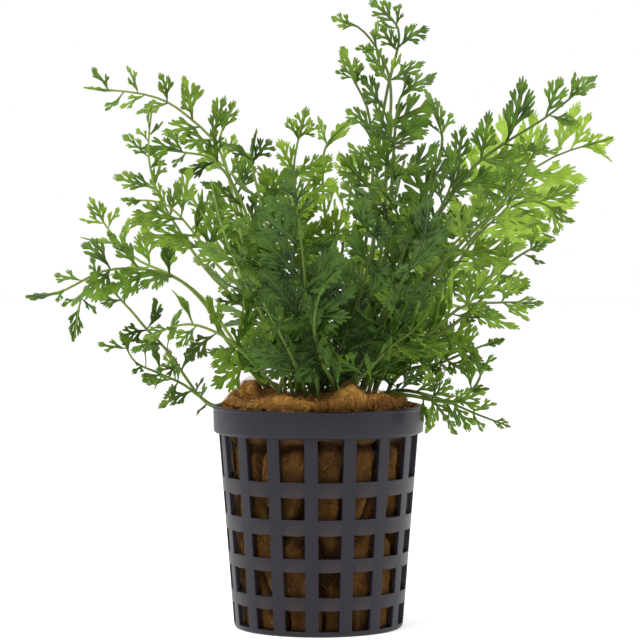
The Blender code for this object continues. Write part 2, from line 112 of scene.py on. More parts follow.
def add_piece(name, bm, surface):
    """Make a finished bmesh a smooth-shaded piece that rides with the pot."""
    mesh = bpy.data.meshes.new(name)
    bm.to_mesh(mesh)
    bm.free()
    mesh.materials.append(surface)
    mesh.shade_smooth()
    piece = bpy.data.objects.new(name, mesh)
    bpy.context.scene.collection.objects.link(piece)
    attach(piece, "root")
    return piece


def add_node(tree, kind, inputs=None, **settings):
    """Add a node with its settings, and set or link its inputs."""
    node = tree.nodes.new(kind)
    for name, value in settings.items():
        setattr(node, name, value)
    for socket, value in (inputs or {}).items():
        if isinstance(value, bpy.types.NodeSocket):
            tree.links.new(value, node.inputs[socket])
        else:
            node.inputs[socket].default_value = value
    return node


def mix_colours(tree, factor, first, second):
    """The output of a node that fades from the first colour to the second."""
    return add_node(tree, "ShaderNodeMix", {0: factor, 6: first, 7: second}, data_type="RGBA").outputs[2]


def combine(tree, operation, first, second=0.0, **settings):
    """The output of a node that works one value out of two, or out of the first alone."""
    node = add_node(tree, "ShaderNodeMath", {0: first, 1: second}, operation=operation, **settings)
    return node.outputs[0]


def painted(tree, name):
    """A value that the mesh carries at its points."""
    return add_node(tree, "ShaderNodeAttribute", attribute_name=name).outputs["Fac"]


def noise_value(tree, place, scale, detail, **more):
    """The output of a noise texture."""
    inputs = {"Vector": place, "Scale": scale, "Detail": detail, **more}
    return add_node(tree, "ShaderNodeTexNoise", inputs).outputs[0]


def stretch(tree, value, low, high, new_low=0.0, new_high=1.0):
    """The output of a node that maps one range of a value to another, and stops at its ends."""
    inputs = {"Value": value, "From Min": low, "From Max": high, "To Min": new_low, "To Max": new_high}
    return add_node(tree, "ShaderNodeMapRange", inputs).outputs[0]


def new_material(name, roughness):
    """A material, its node tree and its main shader."""
    made = bpy.data.materials.new(name)
    made.use_nodes = True
    shader = made.node_tree.nodes["Principled BSDF"]
    shader.inputs["Roughness"].default_value = roughness
    return made, made.node_tree, shader


def net_pot_plastic():
    """Semi-matt dark grey plastic with a faint moulding texture, and a painted brown reflection of the wool
    on the window tops.
    """
    made, tree, shader = new_material("net pot plastic", 0.42)
    place = add_node(tree, "ShaderNodeTexCoord").outputs["Object"]
    cloud = noise_value(tree, place, 70, 3)
    grain = noise_value(tree, place, 1600, 2)
    grey = mix_colours(tree, stretch(tree, cloud, *CLOUD_RANGE), *POT_GREYS)
    # Painted reflection: the window tops take on the wool's brown, broken up by the cloud
    spread = combine(tree, "MULTIPLY", painted(tree, "wool_reflection"), cloud)
    tree.links.new(mix_colours(tree, spread, grey, WOOL_REFLECTION), shader.inputs["Base Color"])
    tree.links.new(stretch(tree, cloud, *CLOUD_RANGE, 0.36, 0.48), shader.inputs["Roughness"])
    bump = add_node(tree, "ShaderNodeBump", {"Height": grain, "Strength": 0.12, "Distance": 0.05 * MM})
    tree.links.new(bump.outputs[0], shader.inputs["Normal"])
    shader.inputs["Specular IOR Level"].default_value = 0.28
    return made


def pot_profile():
    """Outer side from the base's centre to the lip, then the inner side back down."""
    band_foot = POT_HEIGHT - RIM_BAND
    lip_foot = POT_HEIGHT - LIP_HEIGHT
    edge = WALL / 2
    outer = [(0, 0), (BASE_SLOT_RADII[0], 0), (BASE_SLOT_RADII[1], 0)]
    outer += arc(BODY_BASE_RADIUS - BASE_ROUNDING, BASE_ROUNDING, BASE_ROUNDING, -90, 0)
    for low, high in WINDOW_ROWS:
        outer += [(body_radius(low), low), (body_radius(high), high)]
    outer.append((BODY_TOP_RADIUS, band_foot))
    outer += arc(RIM_FOOT_RADIUS - RIM_ROUNDING, band_foot + RIM_ROUNDING, RIM_ROUNDING, -90, 0)
    outer += [(RIM_RADIUS - LIP_STEP, lip_foot - LIP_STEP), (RIM_RADIUS - LIP_STEP, lip_foot),
              (RIM_RADIUS, lip_foot + LIP_STEP / 2)]
    outer += arc(RIM_RADIUS - edge / 2, POT_HEIGHT - edge / 2, edge / 2, 0, 90)
    inner = [(RIM_RADIUS - WALL + edge / 2, POT_HEIGHT), (RIM_RADIUS - WALL, POT_HEIGHT - edge / 2),
             (RIM_FOOT_RADIUS - WALL, band_foot + WALL), (BODY_TOP_RADIUS - WALL, band_foot)]
    for low, high in reversed(WINDOW_ROWS):
        inner += [(body_radius(high) - WALL, high), (body_radius(low) - WALL, max(low, INNER_SILL))]
    inner += [(BASE_SLOT_RADII[1], WALL), (BASE_SLOT_RADII[0], WALL), (0, WALL)]
    return outer + inner


def make_net_pot():
    """A turned wall whose windows and slots are cut through from skin to skin."""
    steps = 2 * STEPS_PER_WINDOW
    bm = spin_profile(pot_profile(), steps * WINDOW_COLUMNS)
    # The window tops are marked for a painted reflection of the wool
    wool_reflection = bm.verts.layers.float.new("wool_reflection")
    pitch = math.tau / WINDOW_COLUMNS
    for vert in bm.verts:
        radius = vert.co.xy.length
        if radius < MM:
            continue
        column = round(math.atan2(vert.co.y, vert.co.x) / (pitch / steps)) % (steps * WINDOW_COLUMNS)
        turn, step = divmod(column, steps)
        window = pitch - RIB_WIDTH / max(radius, BASE_SLOT_RADII[1])
        if step <= STEPS_PER_WINDOW:
            angle = window * (step / STEPS_PER_WINDOW - 0.5)
        else:
            angle = window / 2 + (pitch - window) * (step / STEPS_PER_WINDOW - 1)
        angle += FIRST_WINDOW_ANGLE + pitch * turn
        vert.co.x = radius * math.cos(angle)
        vert.co.y = radius * math.sin(angle)
        at_top = any(abs(vert.co.z - high) < SAME_PLACE for low, high in WINDOW_ROWS[:-1])
        if at_top and 0 < step < STEPS_PER_WINDOW:
            vert.co.z -= WINDOW_SAG * math.sin(math.pi * step / STEPS_PER_WINDOW)
            vert[wool_reflection] = 1.0

    openings = {}
    for face in bm.faces:
        middle = face.calc_center_median()
        turns = (math.atan2(middle.y, middle.x) - FIRST_WINDOW_ANGLE) / pitch
        half_window = 0.5 * (1 - RIB_WIDTH / (middle.xy.length * pitch))
        if abs(turns - round(turns)) > half_window + WINDOW_SLACK:
            continue
        row = next((n for n, (low, high) in enumerate(WINDOW_ROWS) if low < middle.z < high), None)
        on_base = middle.z < BASE_TOP and BASE_SLOT_RADII[0] < middle.xy.length < BASE_SLOT_RADII[1]
        if on_base:
            row = len(WINDOW_ROWS)
        if row is not None:
            openings.setdefault((round(turns) % WINDOW_COLUMNS, row), []).append(face)
    for faces in openings.values():
        rims = [edge for face in faces for edge in face.edges
                if sum(other in faces for other in edge.link_faces) == 1]
        bmesh.ops.delete(bm, geom=faces, context="FACES_KEEP_BOUNDARY")
        bmesh.ops.bridge_loops(bm, edges=rims)
    bmesh.ops.recalc_face_normals(bm, faces=bm.faces)

    pot = add_piece("net_pot_basket", bm, net_pot_plastic())
    rounded = pot.modifiers.new("moulded edges", "BEVEL")
    rounded.width = EDGE_BEVEL
    rounded.segments = 2
    rounded.limit_method = "ANGLE"
    rounded.angle_limit = EDGE_BEVEL_ANGLE
    rounded.harden_normals = True
    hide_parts("net_pot")


make_net_pot()


# Mineral wool
# A strip of golden brown mineral wool, rolled round the roots and pushed down into the pot. Its
# fibres run up and down the roll, and stand out as stray hairs where it was torn.

GAP = 0.3 * MM
WOOL_EDGE_HEIGHT = 52.4 * MM
WOOL_CROWN_HEIGHT = 54.2 * MM
WOOL_EDGE_RADIUS = 23.4 * MM
# Each lump of the wool's top: x, y, height and spread
WOOL_LUMPS = [(-15.5 * MM, 1 * MM, 4.4 * MM, 5.2 * MM), (6.5 * MM, -17 * MM, 4.4 * MM, 3.8 * MM),
              (-9 * MM, -18 * MM, 1.4 * MM, 4.5 * MM), (15 * MM, -14 * MM, 1.8 * MM, 4 * MM),
              (7 * MM, 18 * MM, 3.5 * MM, 4.5 * MM)]
WOOL_STEPS = 176
WOOL_SIDE_ROWS = 46
WOOL_TOP_RINGS = 34
STRIP_THICKNESS = 5.4 * MM
# The torn edge of the upper mat, with painted shade in its gap, and how far the wool shrinks away from the
# pot's left and right
MAT_EDGE = 43.5 * MM
MAT_GAP = 2.2 * MM
SIDE_SHRINK = 0.9 * MM
MAT_TEAR = 0.8 * MM
MAT_WANDER = 1.2 * MM
SHRINK_FROM = 0.9
# Folds of the roll's outside: how many, how long and how sharp, and how deep all folds are
SIDE_FOLDS = 2.4
SIDE_FOLD_LENGTH = 24 * MM
SIDE_FOLD_SHARPNESS = 8
FOLD_DEPTH = 2.6 * MM
# Gaps between the turns of the roll: how far and how often they wander, and how sharp they are
TURN_WANDER = 0.45
TURN_WANDER_SIZE = 7 * MM
TURN_SHARPNESS = 6
# The top rolls up a little and then drops at the pot's wall, with painted shade where it drops
EDGE_DROP = 4.0 * MM
EDGE_ROUNDING = 3.4 * MM
EDGE_CURVE = 1.6
EDGE_ROLL = 1.0 * MM
EDGE_ROLL_WIDTH = 2 * MM
EDGE_SHADE = 1.3
TOP_TUFT_HEIGHT = 0.55 * MM
TOP_TUFT_SIZE = 3.5 * MM
SIDE_TUFT_HEIGHT = 0.8 * MM
SIDE_TUFT_SIZE = 4 * MM
SIDE_TUFT_STRETCH = 3
SIDE_HOLLOW = 0.6
RESTING_GAP = 0.05 * MM
# The wool's colours inside the pot, and with painted light at its top
WOOL_PALE = ((0.50, 0.225, 0.036, 1), (1.0, 0.58, 0.17, 1))
WOOL_UMBER = ((0.070, 0.024, 0.004, 1), (0.74, 0.31, 0.055, 1))
WOOL_BLOTCH = ((0.056, 0.022, 0.005, 1), (0.46, 0.18, 0.028, 1))
# Painted shade for the wool inside the pot
WOOL_POT_SHADE = (0.010, 0.004, 0.001, 1)
# Painted shade in the folds of the wool
WOOL_FOLD_SHADE = (0.016, 0.007, 0.003, 1)
WOOL_SHEEN = (0.9, 0.48, 0.13, 1)
# How much painted shade the wool gets inside the pot
POT_SHADE_SHARE = 0.74


def wool_height(x, y):
    """The lumpy top of the wool above a point."""
    away = math.hypot(x, y) / WOOL_EDGE_RADIUS
    height = WOOL_CROWN_HEIGHT + (WOOL_EDGE_HEIGHT - WOOL_CROWN_HEIGHT) * away ** 2
    for lump_x, lump_y, rise, spread in WOOL_LUMPS:
        height += rise * math.exp(-((x - lump_x) ** 2 + (y - lump_y) ** 2) / spread ** 2)
    return height


def wool_radius(height):
    """Radius of the wad inside the pot's wall."""
    if height < POT_HEIGHT - RIM_BAND:
        return body_radius(height) - WALL - GAP
    return WOOL_EDGE_RADIUS


def side_crease(angle, height):
    """How deep the folds of the roll's outside are, from 0 to 1."""
    around = Vector((math.cos(angle), math.sin(angle), 0)) * SIDE_FOLDS
    wander = noise.noise(around + Vector((0, 0, height / SIDE_FOLD_LENGTH)))
    return max(0, 1 - abs(wander) * SIDE_FOLD_SHARPNESS)


def top_crease(x, y):
    """How deep the gaps between the turns of the roll are, from 0 to 1."""
    turns = math.hypot(x, y) / STRIP_THICKNESS + math.atan2(y, x) / math.tau
    turns += TURN_WANDER * noise.noise(Vector((x, y, 0)) / TURN_WANDER_SIZE)
    return max(0, 1 - abs(turns - round(turns)) * TURN_SHARPNESS)


def tufts(place, size):
    """Unevenness of matted fibres, from about -1 to 1."""
    return noise.fractal(place / size, 0.6, 2.2, 4)


def wool_surface(radius, angle, height, on_top):
    """Where the folded wool is, and how deep in a fold that is, which also sets its painted shade."""
    x, y = radius * math.cos(angle), radius * math.sin(angle)
    place = Vector((x, y, height))
    if on_top:
        crease = top_crease(x, y)
        height = wool_height(x, y) - FOLD_DEPTH * crease * min(1, radius / STRIP_THICKNESS)
        height += TOP_TUFT_HEIGHT * tufts(place, TOP_TUFT_SIZE)
        drop = max(0, 1 - (WOOL_EDGE_RADIUS - radius) / EDGE_ROUNDING) ** EDGE_CURVE
        from_roll = (radius - WOOL_EDGE_RADIUS + EDGE_ROUNDING) / EDGE_ROLL_WIDTH
        height += EDGE_ROLL * math.exp(-from_roll ** 2)
        height -= EDGE_DROP * drop
        crease = max(crease, EDGE_SHADE * drop)
    else:
        wander = MAT_WANDER * noise.noise(Vector((math.cos(angle), math.sin(angle), 0.5)) * 3)
        torn = math.exp(-((height - MAT_EDGE - wander) / MAT_TEAR) ** 2)
        crease = max(side_crease(angle, height), torn)
        radius -= FOLD_DEPTH * side_crease(angle, height) + MAT_GAP * torn
        at_side = max(0, abs(math.cos(angle)) - SHRINK_FROM) / (1 - SHRINK_FROM)
        radius -= SIDE_SHRINK * at_side * (height < MAT_EDGE)
        place.z = height / SIDE_TUFT_STRETCH
        radius -= SIDE_TUFT_HEIGHT * (SIDE_HOLLOW + tufts(place, SIDE_TUFT_SIZE))
    return Vector((radius * math.cos(angle), radius * math.sin(angle), height)), crease


def mineral_wool_matting():
    """Matted golden fibres, streaked and blotched, with painted shade in the folds and inside the pot, and
    painted light on top.
    """
    made, tree, shader = new_material("mineral wool", 0.95)
    place = add_node(tree, "ShaderNodeTexCoord").outputs["Object"]
    along = add_node(tree, "ShaderNodeMapping", {"Vector": place, "Scale": (1, 1, 0.75)}).outputs[0]
    streak = noise_value(tree, along, 1500, 5, Roughness=0.75, Distortion=0.8)
    patch = noise_value(tree, along, 330, 4)
    crease = painted(tree, "crease")
    split = add_node(tree, "ShaderNodeSeparateXYZ", {"Vector": place})
    # Painted light: the higher the wool stands above the rim, the paler it is
    lit = stretch(tree, split.outputs["Z"], POT_HEIGHT - 0.5 * MM, POT_HEIGHT + 5 * MM)
    pale, umber, blotch = (mix_colours(tree, lit, *pair) for pair in (WOOL_PALE, WOOL_UMBER, WOOL_BLOTCH))
    gold = mix_colours(tree, stretch(tree, streak, *CLOUD_RANGE), umber, pale)
    patchy = mix_colours(tree, stretch(tree, patch, 0.36, 0.60, 0.70, 0.0), gold, blotch)
    # Painted shade inside the pot: full below the rim band, fading out at the rim's top
    inside = stretch(tree, split.outputs["Z"], POT_HEIGHT - RIM_BAND, POT_HEIGHT, POT_SHADE_SHARE, 0)
    pot_shaded = mix_colours(tree, inside, patchy, WOOL_POT_SHADE)
    # Painted shade in the folds, along the torn edge and where the top drops at the wall
    dark = mix_colours(tree, stretch(tree, crease, 0.1, 0.9), pot_shaded, WOOL_FOLD_SHADE)
    tree.links.new(dark, shader.inputs["Base Color"])
    shader.inputs["Sheen Weight"].default_value = 0.15
    shader.inputs["Sheen Tint"].default_value = WOOL_SHEEN
    shader.inputs["Specular IOR Level"].default_value = 0.15
    bump = add_node(tree, "ShaderNodeBump", {"Height": streak, "Strength": 0.9, "Distance": 0.5 * MM})
    tree.links.new(bump.outputs[0], shader.inputs["Normal"])
    return made


def make_mineral_wool():
    """A turned wad, folded and tufted point by point, that rests on the pot's base."""
    base = WALL + RESTING_GAP
    profile = [(0, base), (wool_radius(base) - BASE_ROUNDING, base)]
    for row in range(WOOL_SIDE_ROWS + 1):
        height = base + BASE_ROUNDING + (WOOL_EDGE_HEIGHT - base - BASE_ROUNDING) * row / WOOL_SIDE_ROWS
        profile.append((wool_radius(height), height))
    for ring in range(1, WOOL_TOP_RINGS + 1):
        profile.append((WOOL_EDGE_RADIUS * (1 - ring / WOOL_TOP_RINGS), WOOL_CROWN_HEIGHT))
    bm = spin_profile(profile, WOOL_STEPS)
    crease_mark = bm.verts.layers.float.new("crease")
    for vert in bm.verts:
        radius = vert.co.xy.length
        if vert.co.z < base + BASE_ROUNDING / 2:
            continue
        angle = math.atan2(vert.co.y, vert.co.x)
        on_top = vert.co.z > WOOL_EDGE_HEIGHT + SAME_PLACE
        vert.co, vert[crease_mark] = wool_surface(radius, angle, vert.co.z, on_top)
    wool = add_piece("mineral_wool_wad", bm, mineral_wool_matting())
    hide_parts("mineral_wool")


make_mineral_wool()


# Stray fibres of the mineral wool
# Fine glassy hairs that lie over the folds, up and down the sides and every way on top, all
# joined in one mesh.

FIBRE_SIDES = 3
FIBRE_STEPS = 4
TOP_FIBRES = 3000
SIDE_FIBRES = 1000
FIBRE_RADIUS = 0.055 * MM
FIBRE_SINK = 0.05 * MM
FIBRE_TAPER = 0.7
# In millimetres: lengths on top, and the heights where the fibres of the sides begin
FIBRE_LENGTH = (2.5, 6.5)
SIDE_HEIGHTS = (2, 51)
SIDE_LENGTH_SHARE = 0.6
FIBRE_LIFT = 1.6 * MM
SIDE_LIFT_SHARE = 0.3
FREE_ENDS = 0.35
TOP_FILL = 0.94
TOP_BEND = 1.2
SIDE_LEAN = 0.8
TOP_SHADE_POWER = 1.6
# The fibres of the sides are darker than those on top, partly painted shade inside the pot
SIDE_SHADE = 0.45
FIBRE_AMBER = ((0.11, 0.040, 0.006, 1), (0.54, 0.23, 0.036, 1))
FIBRE_CREAM = (0.90, 0.54, 0.15, 1)


def ring_about(centre, heading, radius, sides):
    """Corners of a small ring across a heading."""
    across = heading.orthogonal().normalized()
    turn = Quaternion(heading, math.tau / sides)
    corners = []
    for _ in range(sides):
        corners.append(centre + across * radius)
        across = turn @ across
    return corners


def fibre_line(on_top, dice):
    """The points of one fibre, lying on the wool with its middle or its end standing up."""
    points = []
    angle = dice.uniform(0, math.tau)
    length = dice.uniform(*FIBRE_LENGTH) * MM * (1 if on_top else SIDE_LENGTH_SHARE)
    lift = dice.uniform(0.1, 1.0) ** 2 * FIBRE_LIFT
    free_end = dice.random() < FREE_ENDS
    if on_top:
        radius = WOOL_EDGE_RADIUS * math.sqrt(dice.uniform(0, TOP_FILL))
        x, y = radius * math.cos(angle), radius * math.sin(angle)
        heading = dice.uniform(0, math.tau)
        bend = dice.uniform(-TOP_BEND, TOP_BEND)
    else:
        height = dice.uniform(*SIDE_HEIGHTS) * MM
        lean = dice.gauss(0, SIDE_LEAN)
    for step in range(FIBRE_STEPS + 1):
        share = step / FIBRE_STEPS
        if on_top:
            radius = min(math.hypot(x, y), WOOL_EDGE_RADIUS)
            place, crease = wool_surface(radius, math.atan2(y, x), WOOL_CROWN_HEIGHT, True)
            out = Vector((0, 0, 1))
            x += length / FIBRE_STEPS * math.cos(heading + bend * share)
            y += length / FIBRE_STEPS * math.sin(heading + bend * share)
        else:
            turned = angle + lean * share * length / BODY_BASE_RADIUS
            raised = min(height + share * length, WOOL_EDGE_HEIGHT)
            place, crease = wool_surface(wool_radius(raised), turned, raised, False)
            out = Vector((math.cos(turned), math.sin(turned), 0))
        rise = share ** 2 if free_end else math.sin(math.pi * share)
        reach = lift * rise * (1 if on_top else SIDE_LIFT_SHARE)
        points.append(place + out * (reach - FIBRE_SINK + 0.5 * FOLD_DEPTH * crease))
    return points


def fibre_glass():
    """Thin fibres from dark amber to cream."""
    made, tree, shader = new_material("wool fibre", 0.6)
    shade = painted(tree, "shade")
    amber = mix_colours(tree, stretch(tree, shade, 0.0, 0.6), *FIBRE_AMBER)
    cream = mix_colours(tree, stretch(tree, shade, 0.6, 1.0), amber, FIBRE_CREAM)
    tree.links.new(cream, shader.inputs["Base Color"])
    return made


def make_fibres():
    """Start every fibre as a small face, and extrude them all together, step by step."""
    dice = random.Random(11)
    lines = [fibre_line(number < TOP_FIBRES, dice) for number in range(TOP_FIBRES + SIDE_FIBRES)]
    bm = bmesh.new()
    strand = bm.faces.layers.int.new("strand")
    shade = bm.verts.layers.float.new("shade")
    shades = [dice.random() ** TOP_SHADE_POWER if number < TOP_FIBRES else SIDE_SHADE * dice.random() ** 2
              for number in range(len(lines))]
    feet = []
    for number, line in enumerate(lines):
        corners = ring_about(line[0], (line[1] - line[0]).normalized(), FIBRE_RADIUS, FIBRE_SIDES)
        foot = [bm.verts.new(corner) for corner in corners]
        for vert in foot:
            vert[shade] = shades[number]
        bm.faces.new(foot)[strand] = number
        feet.append(foot)
    ends = list(bm.faces)
    for step in range(1, FIBRE_STEPS + 1):
        ends = bmesh.ops.extrude_discrete_faces(bm, faces=ends)["faces"]
        radius = FIBRE_RADIUS * (1 - FIBRE_TAPER * step / FIBRE_STEPS)
        for end in ends:
            line = lines[end[strand]]
            heading = (line[step] - line[step - 1]).normalized()
            for vert, corner in zip(end.verts, ring_about(line[step], heading, radius, FIBRE_SIDES)):
                vert.co = corner
    for foot in feet:
        bm.faces.new(foot)
    bmesh.ops.recalc_face_normals(bm, faces=bm.faces)
    add_piece("mineral_wool_fibres", bm, fibre_glass())


make_fibres()


# Fronds
# Each frond is one living piece: a slim stalk out of the wool, and on its upper part pairs of
# leaflets, each with a bare stalk of its own, side lobes and an end lobe that are cut into teeth.

STALK_THICKNESS = 1.3 * MM
TIP_THICKNESS = 0.6 * MM
BLADE_THICKNESS = 0.6 * MM
LEAFLET_NECK = 0.9 * MM
END_LEAFLET_WIDTH = 3.2 * MM
LEAFLET_WIDTH_SHARE = 0.42
WIDEST_AT = 0.55
CLEARANCE = 0.35 * MM
BARE_BENDS = 3
CURVE_POINTS = 9
BLADE_FOLD = math.radians(14)
FOOT_LEAN = math.radians(54)
TIP_LEAN = math.radians(36)
LEAN_SPREAD = math.radians(8)
TWIST_SPREAD = math.radians(18)
LENGTH_SWELL = 0.2
LENGTH_TAPER = 0.6
LENGTH_SPREAD = (0.78, 1.12)
FIRST_PAIR = 0.4
POCKET_FLOOR = 48 * MM

# Each frond: name, foot, the points its stalk passes in millimetres, the share of it that is bare,
# pairs of leaflets, leaflet length, how far its face turns from the front and tilts up, and its green
FRONDS = [
    ("tallest", (4, 1), [(11, 3, 72), (13, 5, 90), (14, 6, 110), (16, 6, 125), (19, 6, 138),
     (17, 5, 143), (12, 4, 147)], 0.52, 6, 12.5, (10, 5), "mid"),
    ("top_left", (-5, 4), [(-8, 7, 65), (-14, 9, 79), (-19, 11, 94), (-23, 12, 111),
     (-31, 12, 120), (-40, 12, 125), (-56, 12, 127)], 0.56, 6, 10.5, (-15, 10), "fresh"),
    ("right_dark", (10, -5), [(15, -10, 73), (24, -16, 91), (34, -20, 106), (41, -22, 112),
     (52, -22, 119), (63, -22, 128)], 0.50, 6, 14, (12, 8), "mid"),
    ("right_bright", (10, 7), [(18, 16, 69), (29, 26, 85), (42, 33, 98), (56, 36, 110),
     (73, 38, 116)], 0.56, 5, 19, (-20, 12), "lime"),
    ("right_lime", (7, 10), [(17, 24, 69), (30, 36, 82), (43, 44, 96), (54, 48, 106),
     (60, 50, 107), (66, 50, 104.5)], 0.48, 5, 11.5, (-10, 35), "lime"),
    ("right_olive", (10, -8), [(20, -20, 75), (31, -26, 89), (41, -28, 99), (47, -28, 108),
     (51, -28, 117)], 0.55, 4, 12, (25, 10), "fresh"),
    ("right_pointed", (13, 1), [(19, 4, 70), (30, 8, 81), (39, 10, 93), (50, 10, 100),
     (61, 10, 95)], 0.46, 5, 14, (-15, 15), "fresh"),
    ("right_mid", (13, -5), [(19, -8, 65), (29, -14, 70), (37, -17, 77), (42, -18, 84),
     (47, -18, 88), (54, -18, 91)], 0.44, 5, 12, (20, 20), "fresh"),
    ("right_low", (10, -11), [(17, -20, 65), (25, -28, 70), (32, -32, 76), (40, -34, 77),
     (50, -34, 77)], 0.36, 5, 13, (0, 40), "fresh"),
    ("right_small", (16, -2), [(20, -1, 60), (28, -4, 62), (35, -6, 65),
     (43, -6, 68)], 0.46, 4, 10, (30, 40), "fresh"),
    ("right_hooked", (14, -8), [(21, -12, 55), (27, -16, 54), (32, -18, 54), (36, -19, 58),
     (37, -19, 62), (35, -19, 67)], 0.40, 4, 9, (-40, 10), "mid"),
    ("trailing_right", (17, 5), [(20, 8, 55), (25, 11, 54), (31, 12, 52), (38, 12, 49),
     (46, 12, 46)], 0.42, 4, 9, (0, 40), "fresh"),
    ("rim_right", (17, -5), [(20, -8, 56), (26, -12, 54),
     (32, -13, 46)], 0.42, 3, 9, (20, 10), "fresh"),
    ("tall_left", (2, 5), [(8, 9, 72), (11, 13, 88), (13, 15, 106), (12, 16, 121), (8, 16, 130),
     (6, 16, 137)], 0.55, 4, 10, (-35, 5), "fresh"),
    ("tall_right", (7, -2), [(12, -6, 72), (16, -10, 91), (17, -12, 107), (18, -13, 120),
     (20, -14, 125), (27, -15, 129)], 0.52, 4, 13, (30, 5), "mid"),
    ("right_crest", (7, -6), [(14, -12, 72), (20, -18, 90), (25, -21, 103), (28, -22, 113),
     (26, -22, 120), (24, -22, 125)], 0.48, 4, 13, (45, 5), "mid"),
    ("right_upper", (8, 3), [(15, 8, 72), (24, 14, 89), (32, 18, 104),
     (35, 20, 118)], 0.48, 4, 13, (-40, 5), "mid"),
    ("left_bright", (-9, 4), [(-13, 5, 58), (-19, 8, 65), (-27, 13, 76), (-35, 18, 82),
     (-44, 22, 86), (-51, 26, 93), (-56, 28, 101)], 0.58, 4, 10, (15, 12), "bright"),
    ("far_left", (-12, -1), [(-13, -2, 57), (-21, -6, 67), (-27, -10, 77), (-35, -12, 83),
     (-48, -14, 84), (-59, -16, 79), (-67, -16, 78)], 0.52, 5, 12.5, (-10, 40), "mid"),
    ("left_rim", (-12, 13), [(-14, 18, 56), (-17, 22, 54), (-21, 24, 51), (-25, 24, 50),
     (-29, 21, 53), (-36, 12, 64), (-41, 6, 70), (-45, 3, 75), (-51, -2, 81), (-55, -4, 78),
     (-57, -5, 67)], 0.42, 6, 10, (15, 10), "mid"),
    ("low_left", (-16, 9), [(-19, 14, 54.5), (-21, 18, 52.6), (-25, 20, 50.6), (-29, 20, 53),
     (-33, 19, 56), (-39, 15, 59), (-44, 10, 62), (-47, 6, 69)], 0.55, 4, 10, (-20, 30), "fresh"),
    ("left_mid", (-9, -7), [(-12, -10, 59), (-18, -19, 66), (-23, -25, 70), (-30, -29, 72),
     (-39, -33, 69)], 0.36, 5, 13, (-10, 20), "fresh"),
    ("left_long", (0, -13), [(-1, -14, 61), (-4, -15, 67), (-10, -17, 73), (-22, -18, 84),
     (-28, -18, 92), (-35, -18, 99), (-45, -18, 100)], 0.66, 5, 12, (10, 15), "fresh"),
    ("left_shoot", (-5, -6), [(-6, -9, 60), (-16, -11, 74), (-25, -12, 83), (-32, -13, 93),
     (-37, -13, 102), (-39, -13, 111), (-38, -13, 123)], 0.64, 4, 9, (-30, 5), "fresh"),
    ("upper_left", (-4, -2), [(-7, -3, 66), (-13, -5, 84), (-18, -6, 100), (-24, -8, 109),
     (-31, -9, 111), (-41, -10, 112)], 0.52, 4, 12, (-25, 15), "mid"),
    ("left_crest", (-5, 8), [(-7, 14, 67), (-14, 18, 83), (-20, 21, 102), (-24, 22, 114),
     (-20, 22, 124)], 0.58, 4, 11, (35, 5), "bright"),
    ("left_fan", (-1, -4), [(-7, -8, 69), (-10, -14, 84), (-13, -18, 99), (-15, -20, 108),
     (-14, -22, 116)], 0.48, 4, 14, (-20, 5), "mid"),
    ("left_upright", (-6, -9), [(-9, -15, 66), (-16, -24, 80), (-21, -29, 92),
     (-24, -31, 104)], 0.36, 4, 13, (-45, 10), "mid"),
    ("centre_bright", (-1, 7), [(-4, 12, 72), (-5, 18, 91), (-6, 22, 108),
     (-3, 24, 123)], 0.52, 4, 12, (25, 5), "bright"),
    ("centre_back", (1, 10), [(0, 20, 70), (2, 29, 88), (1, 34, 105), (2, 35, 114),
     (8, 36, 120)], 0.52, 4, 12, (-50, 10), "bright"),
    ("centre_lime", (4, 9), [(4, 24, 71), (6, 32, 89), (8, 36, 103),
     (9, 38, 113)], 0.50, 4, 13, (40, 10), "lime"),
    ("front_centre", (-9, -12), [(-8, -16, 60), (-5, -22, 68), (-3, -29, 79), (-4, -34, 92),
     (-6, -38, 107)], 0.40, 4, 15, (-12, 10), "deep"),
    ("front_low", (4, -13), [(1, -24, 63), (-1, -36, 72), (1, -46, 81),
     (6, -54, 86)], 0.30, 4, 14, (10, 40), "deep"),
    ("front_right", (7, -11), [(12, -22, 67), (18, -38, 81), (23, -50, 93),
     (24, -56, 101)], 0.28, 4, 15, (35, 15), "deep"),
    ("front_middle", (3, -8), [(6, -16, 68), (10, -30, 81), (12, -42, 92),
     (11, -50, 101)], 0.30, 4, 14, (-30, 10), "deep"),
    ("front_low_left", (-3, -12), [(-5, -20, 62), (-7, -30, 67), (-10, -38, 73),
     (-12, -44, 77)], 0.26, 4, 12, (-15, 35), "deep"),
    ("front_low_right", (8, -14), [(11, -22, 61), (16, -31, 67), (21, -37, 71),
     (24, -42, 75)], 0.26, 4, 12, (20, 35), "mid"),
    ("right_back", (12, 10), [(20, 28, 65), (31, 42, 76), (43, 50, 87), (52, 54, 93),
     (60, 56, 91)], 0.40, 4, 10.5, (30, 20), "lime"),
    ("back_left", (-8, 10), [(-10, 20, 65), (-20, 36, 82), (-28, 46, 94),
     (-33, 52, 103)], 0.38, 4, 14, (150, 20), "fresh"),
    ("back_centre", (-2, 12), [(-2, 26, 66), (-6, 42, 83), (-10, 54, 97),
     (-15, 62, 106)], 0.36, 4, 14, (-170, 20), "mid"),
    ("back_right", (4, 13), [(8, 30, 67), (13, 46, 84), (19, 57, 99),
     (22, 62, 111)], 0.36, 4, 14, (-130, 20), "mid"),
    ("tall_crest", (4, -5), [(11, -1, 72), (15, 1, 90), (16, 1, 110), (17, 1, 125), (15, 1, 133),
     (10, 1, 140), (3, 1, 143)], 0.80, 3, 7, (-15, 5), "fresh"),
]

# What a leaflet may try, to stand clear: turns in the blade, lifts out of it, and sizes
TURNS = [math.radians(angle) for angle in (0, 14, -14)]
LIFTS = [math.radians(angle) for angle in (0, 20, -20, 40, -40, 60)]
SIZES = (1.0, 0.8, 0.6)


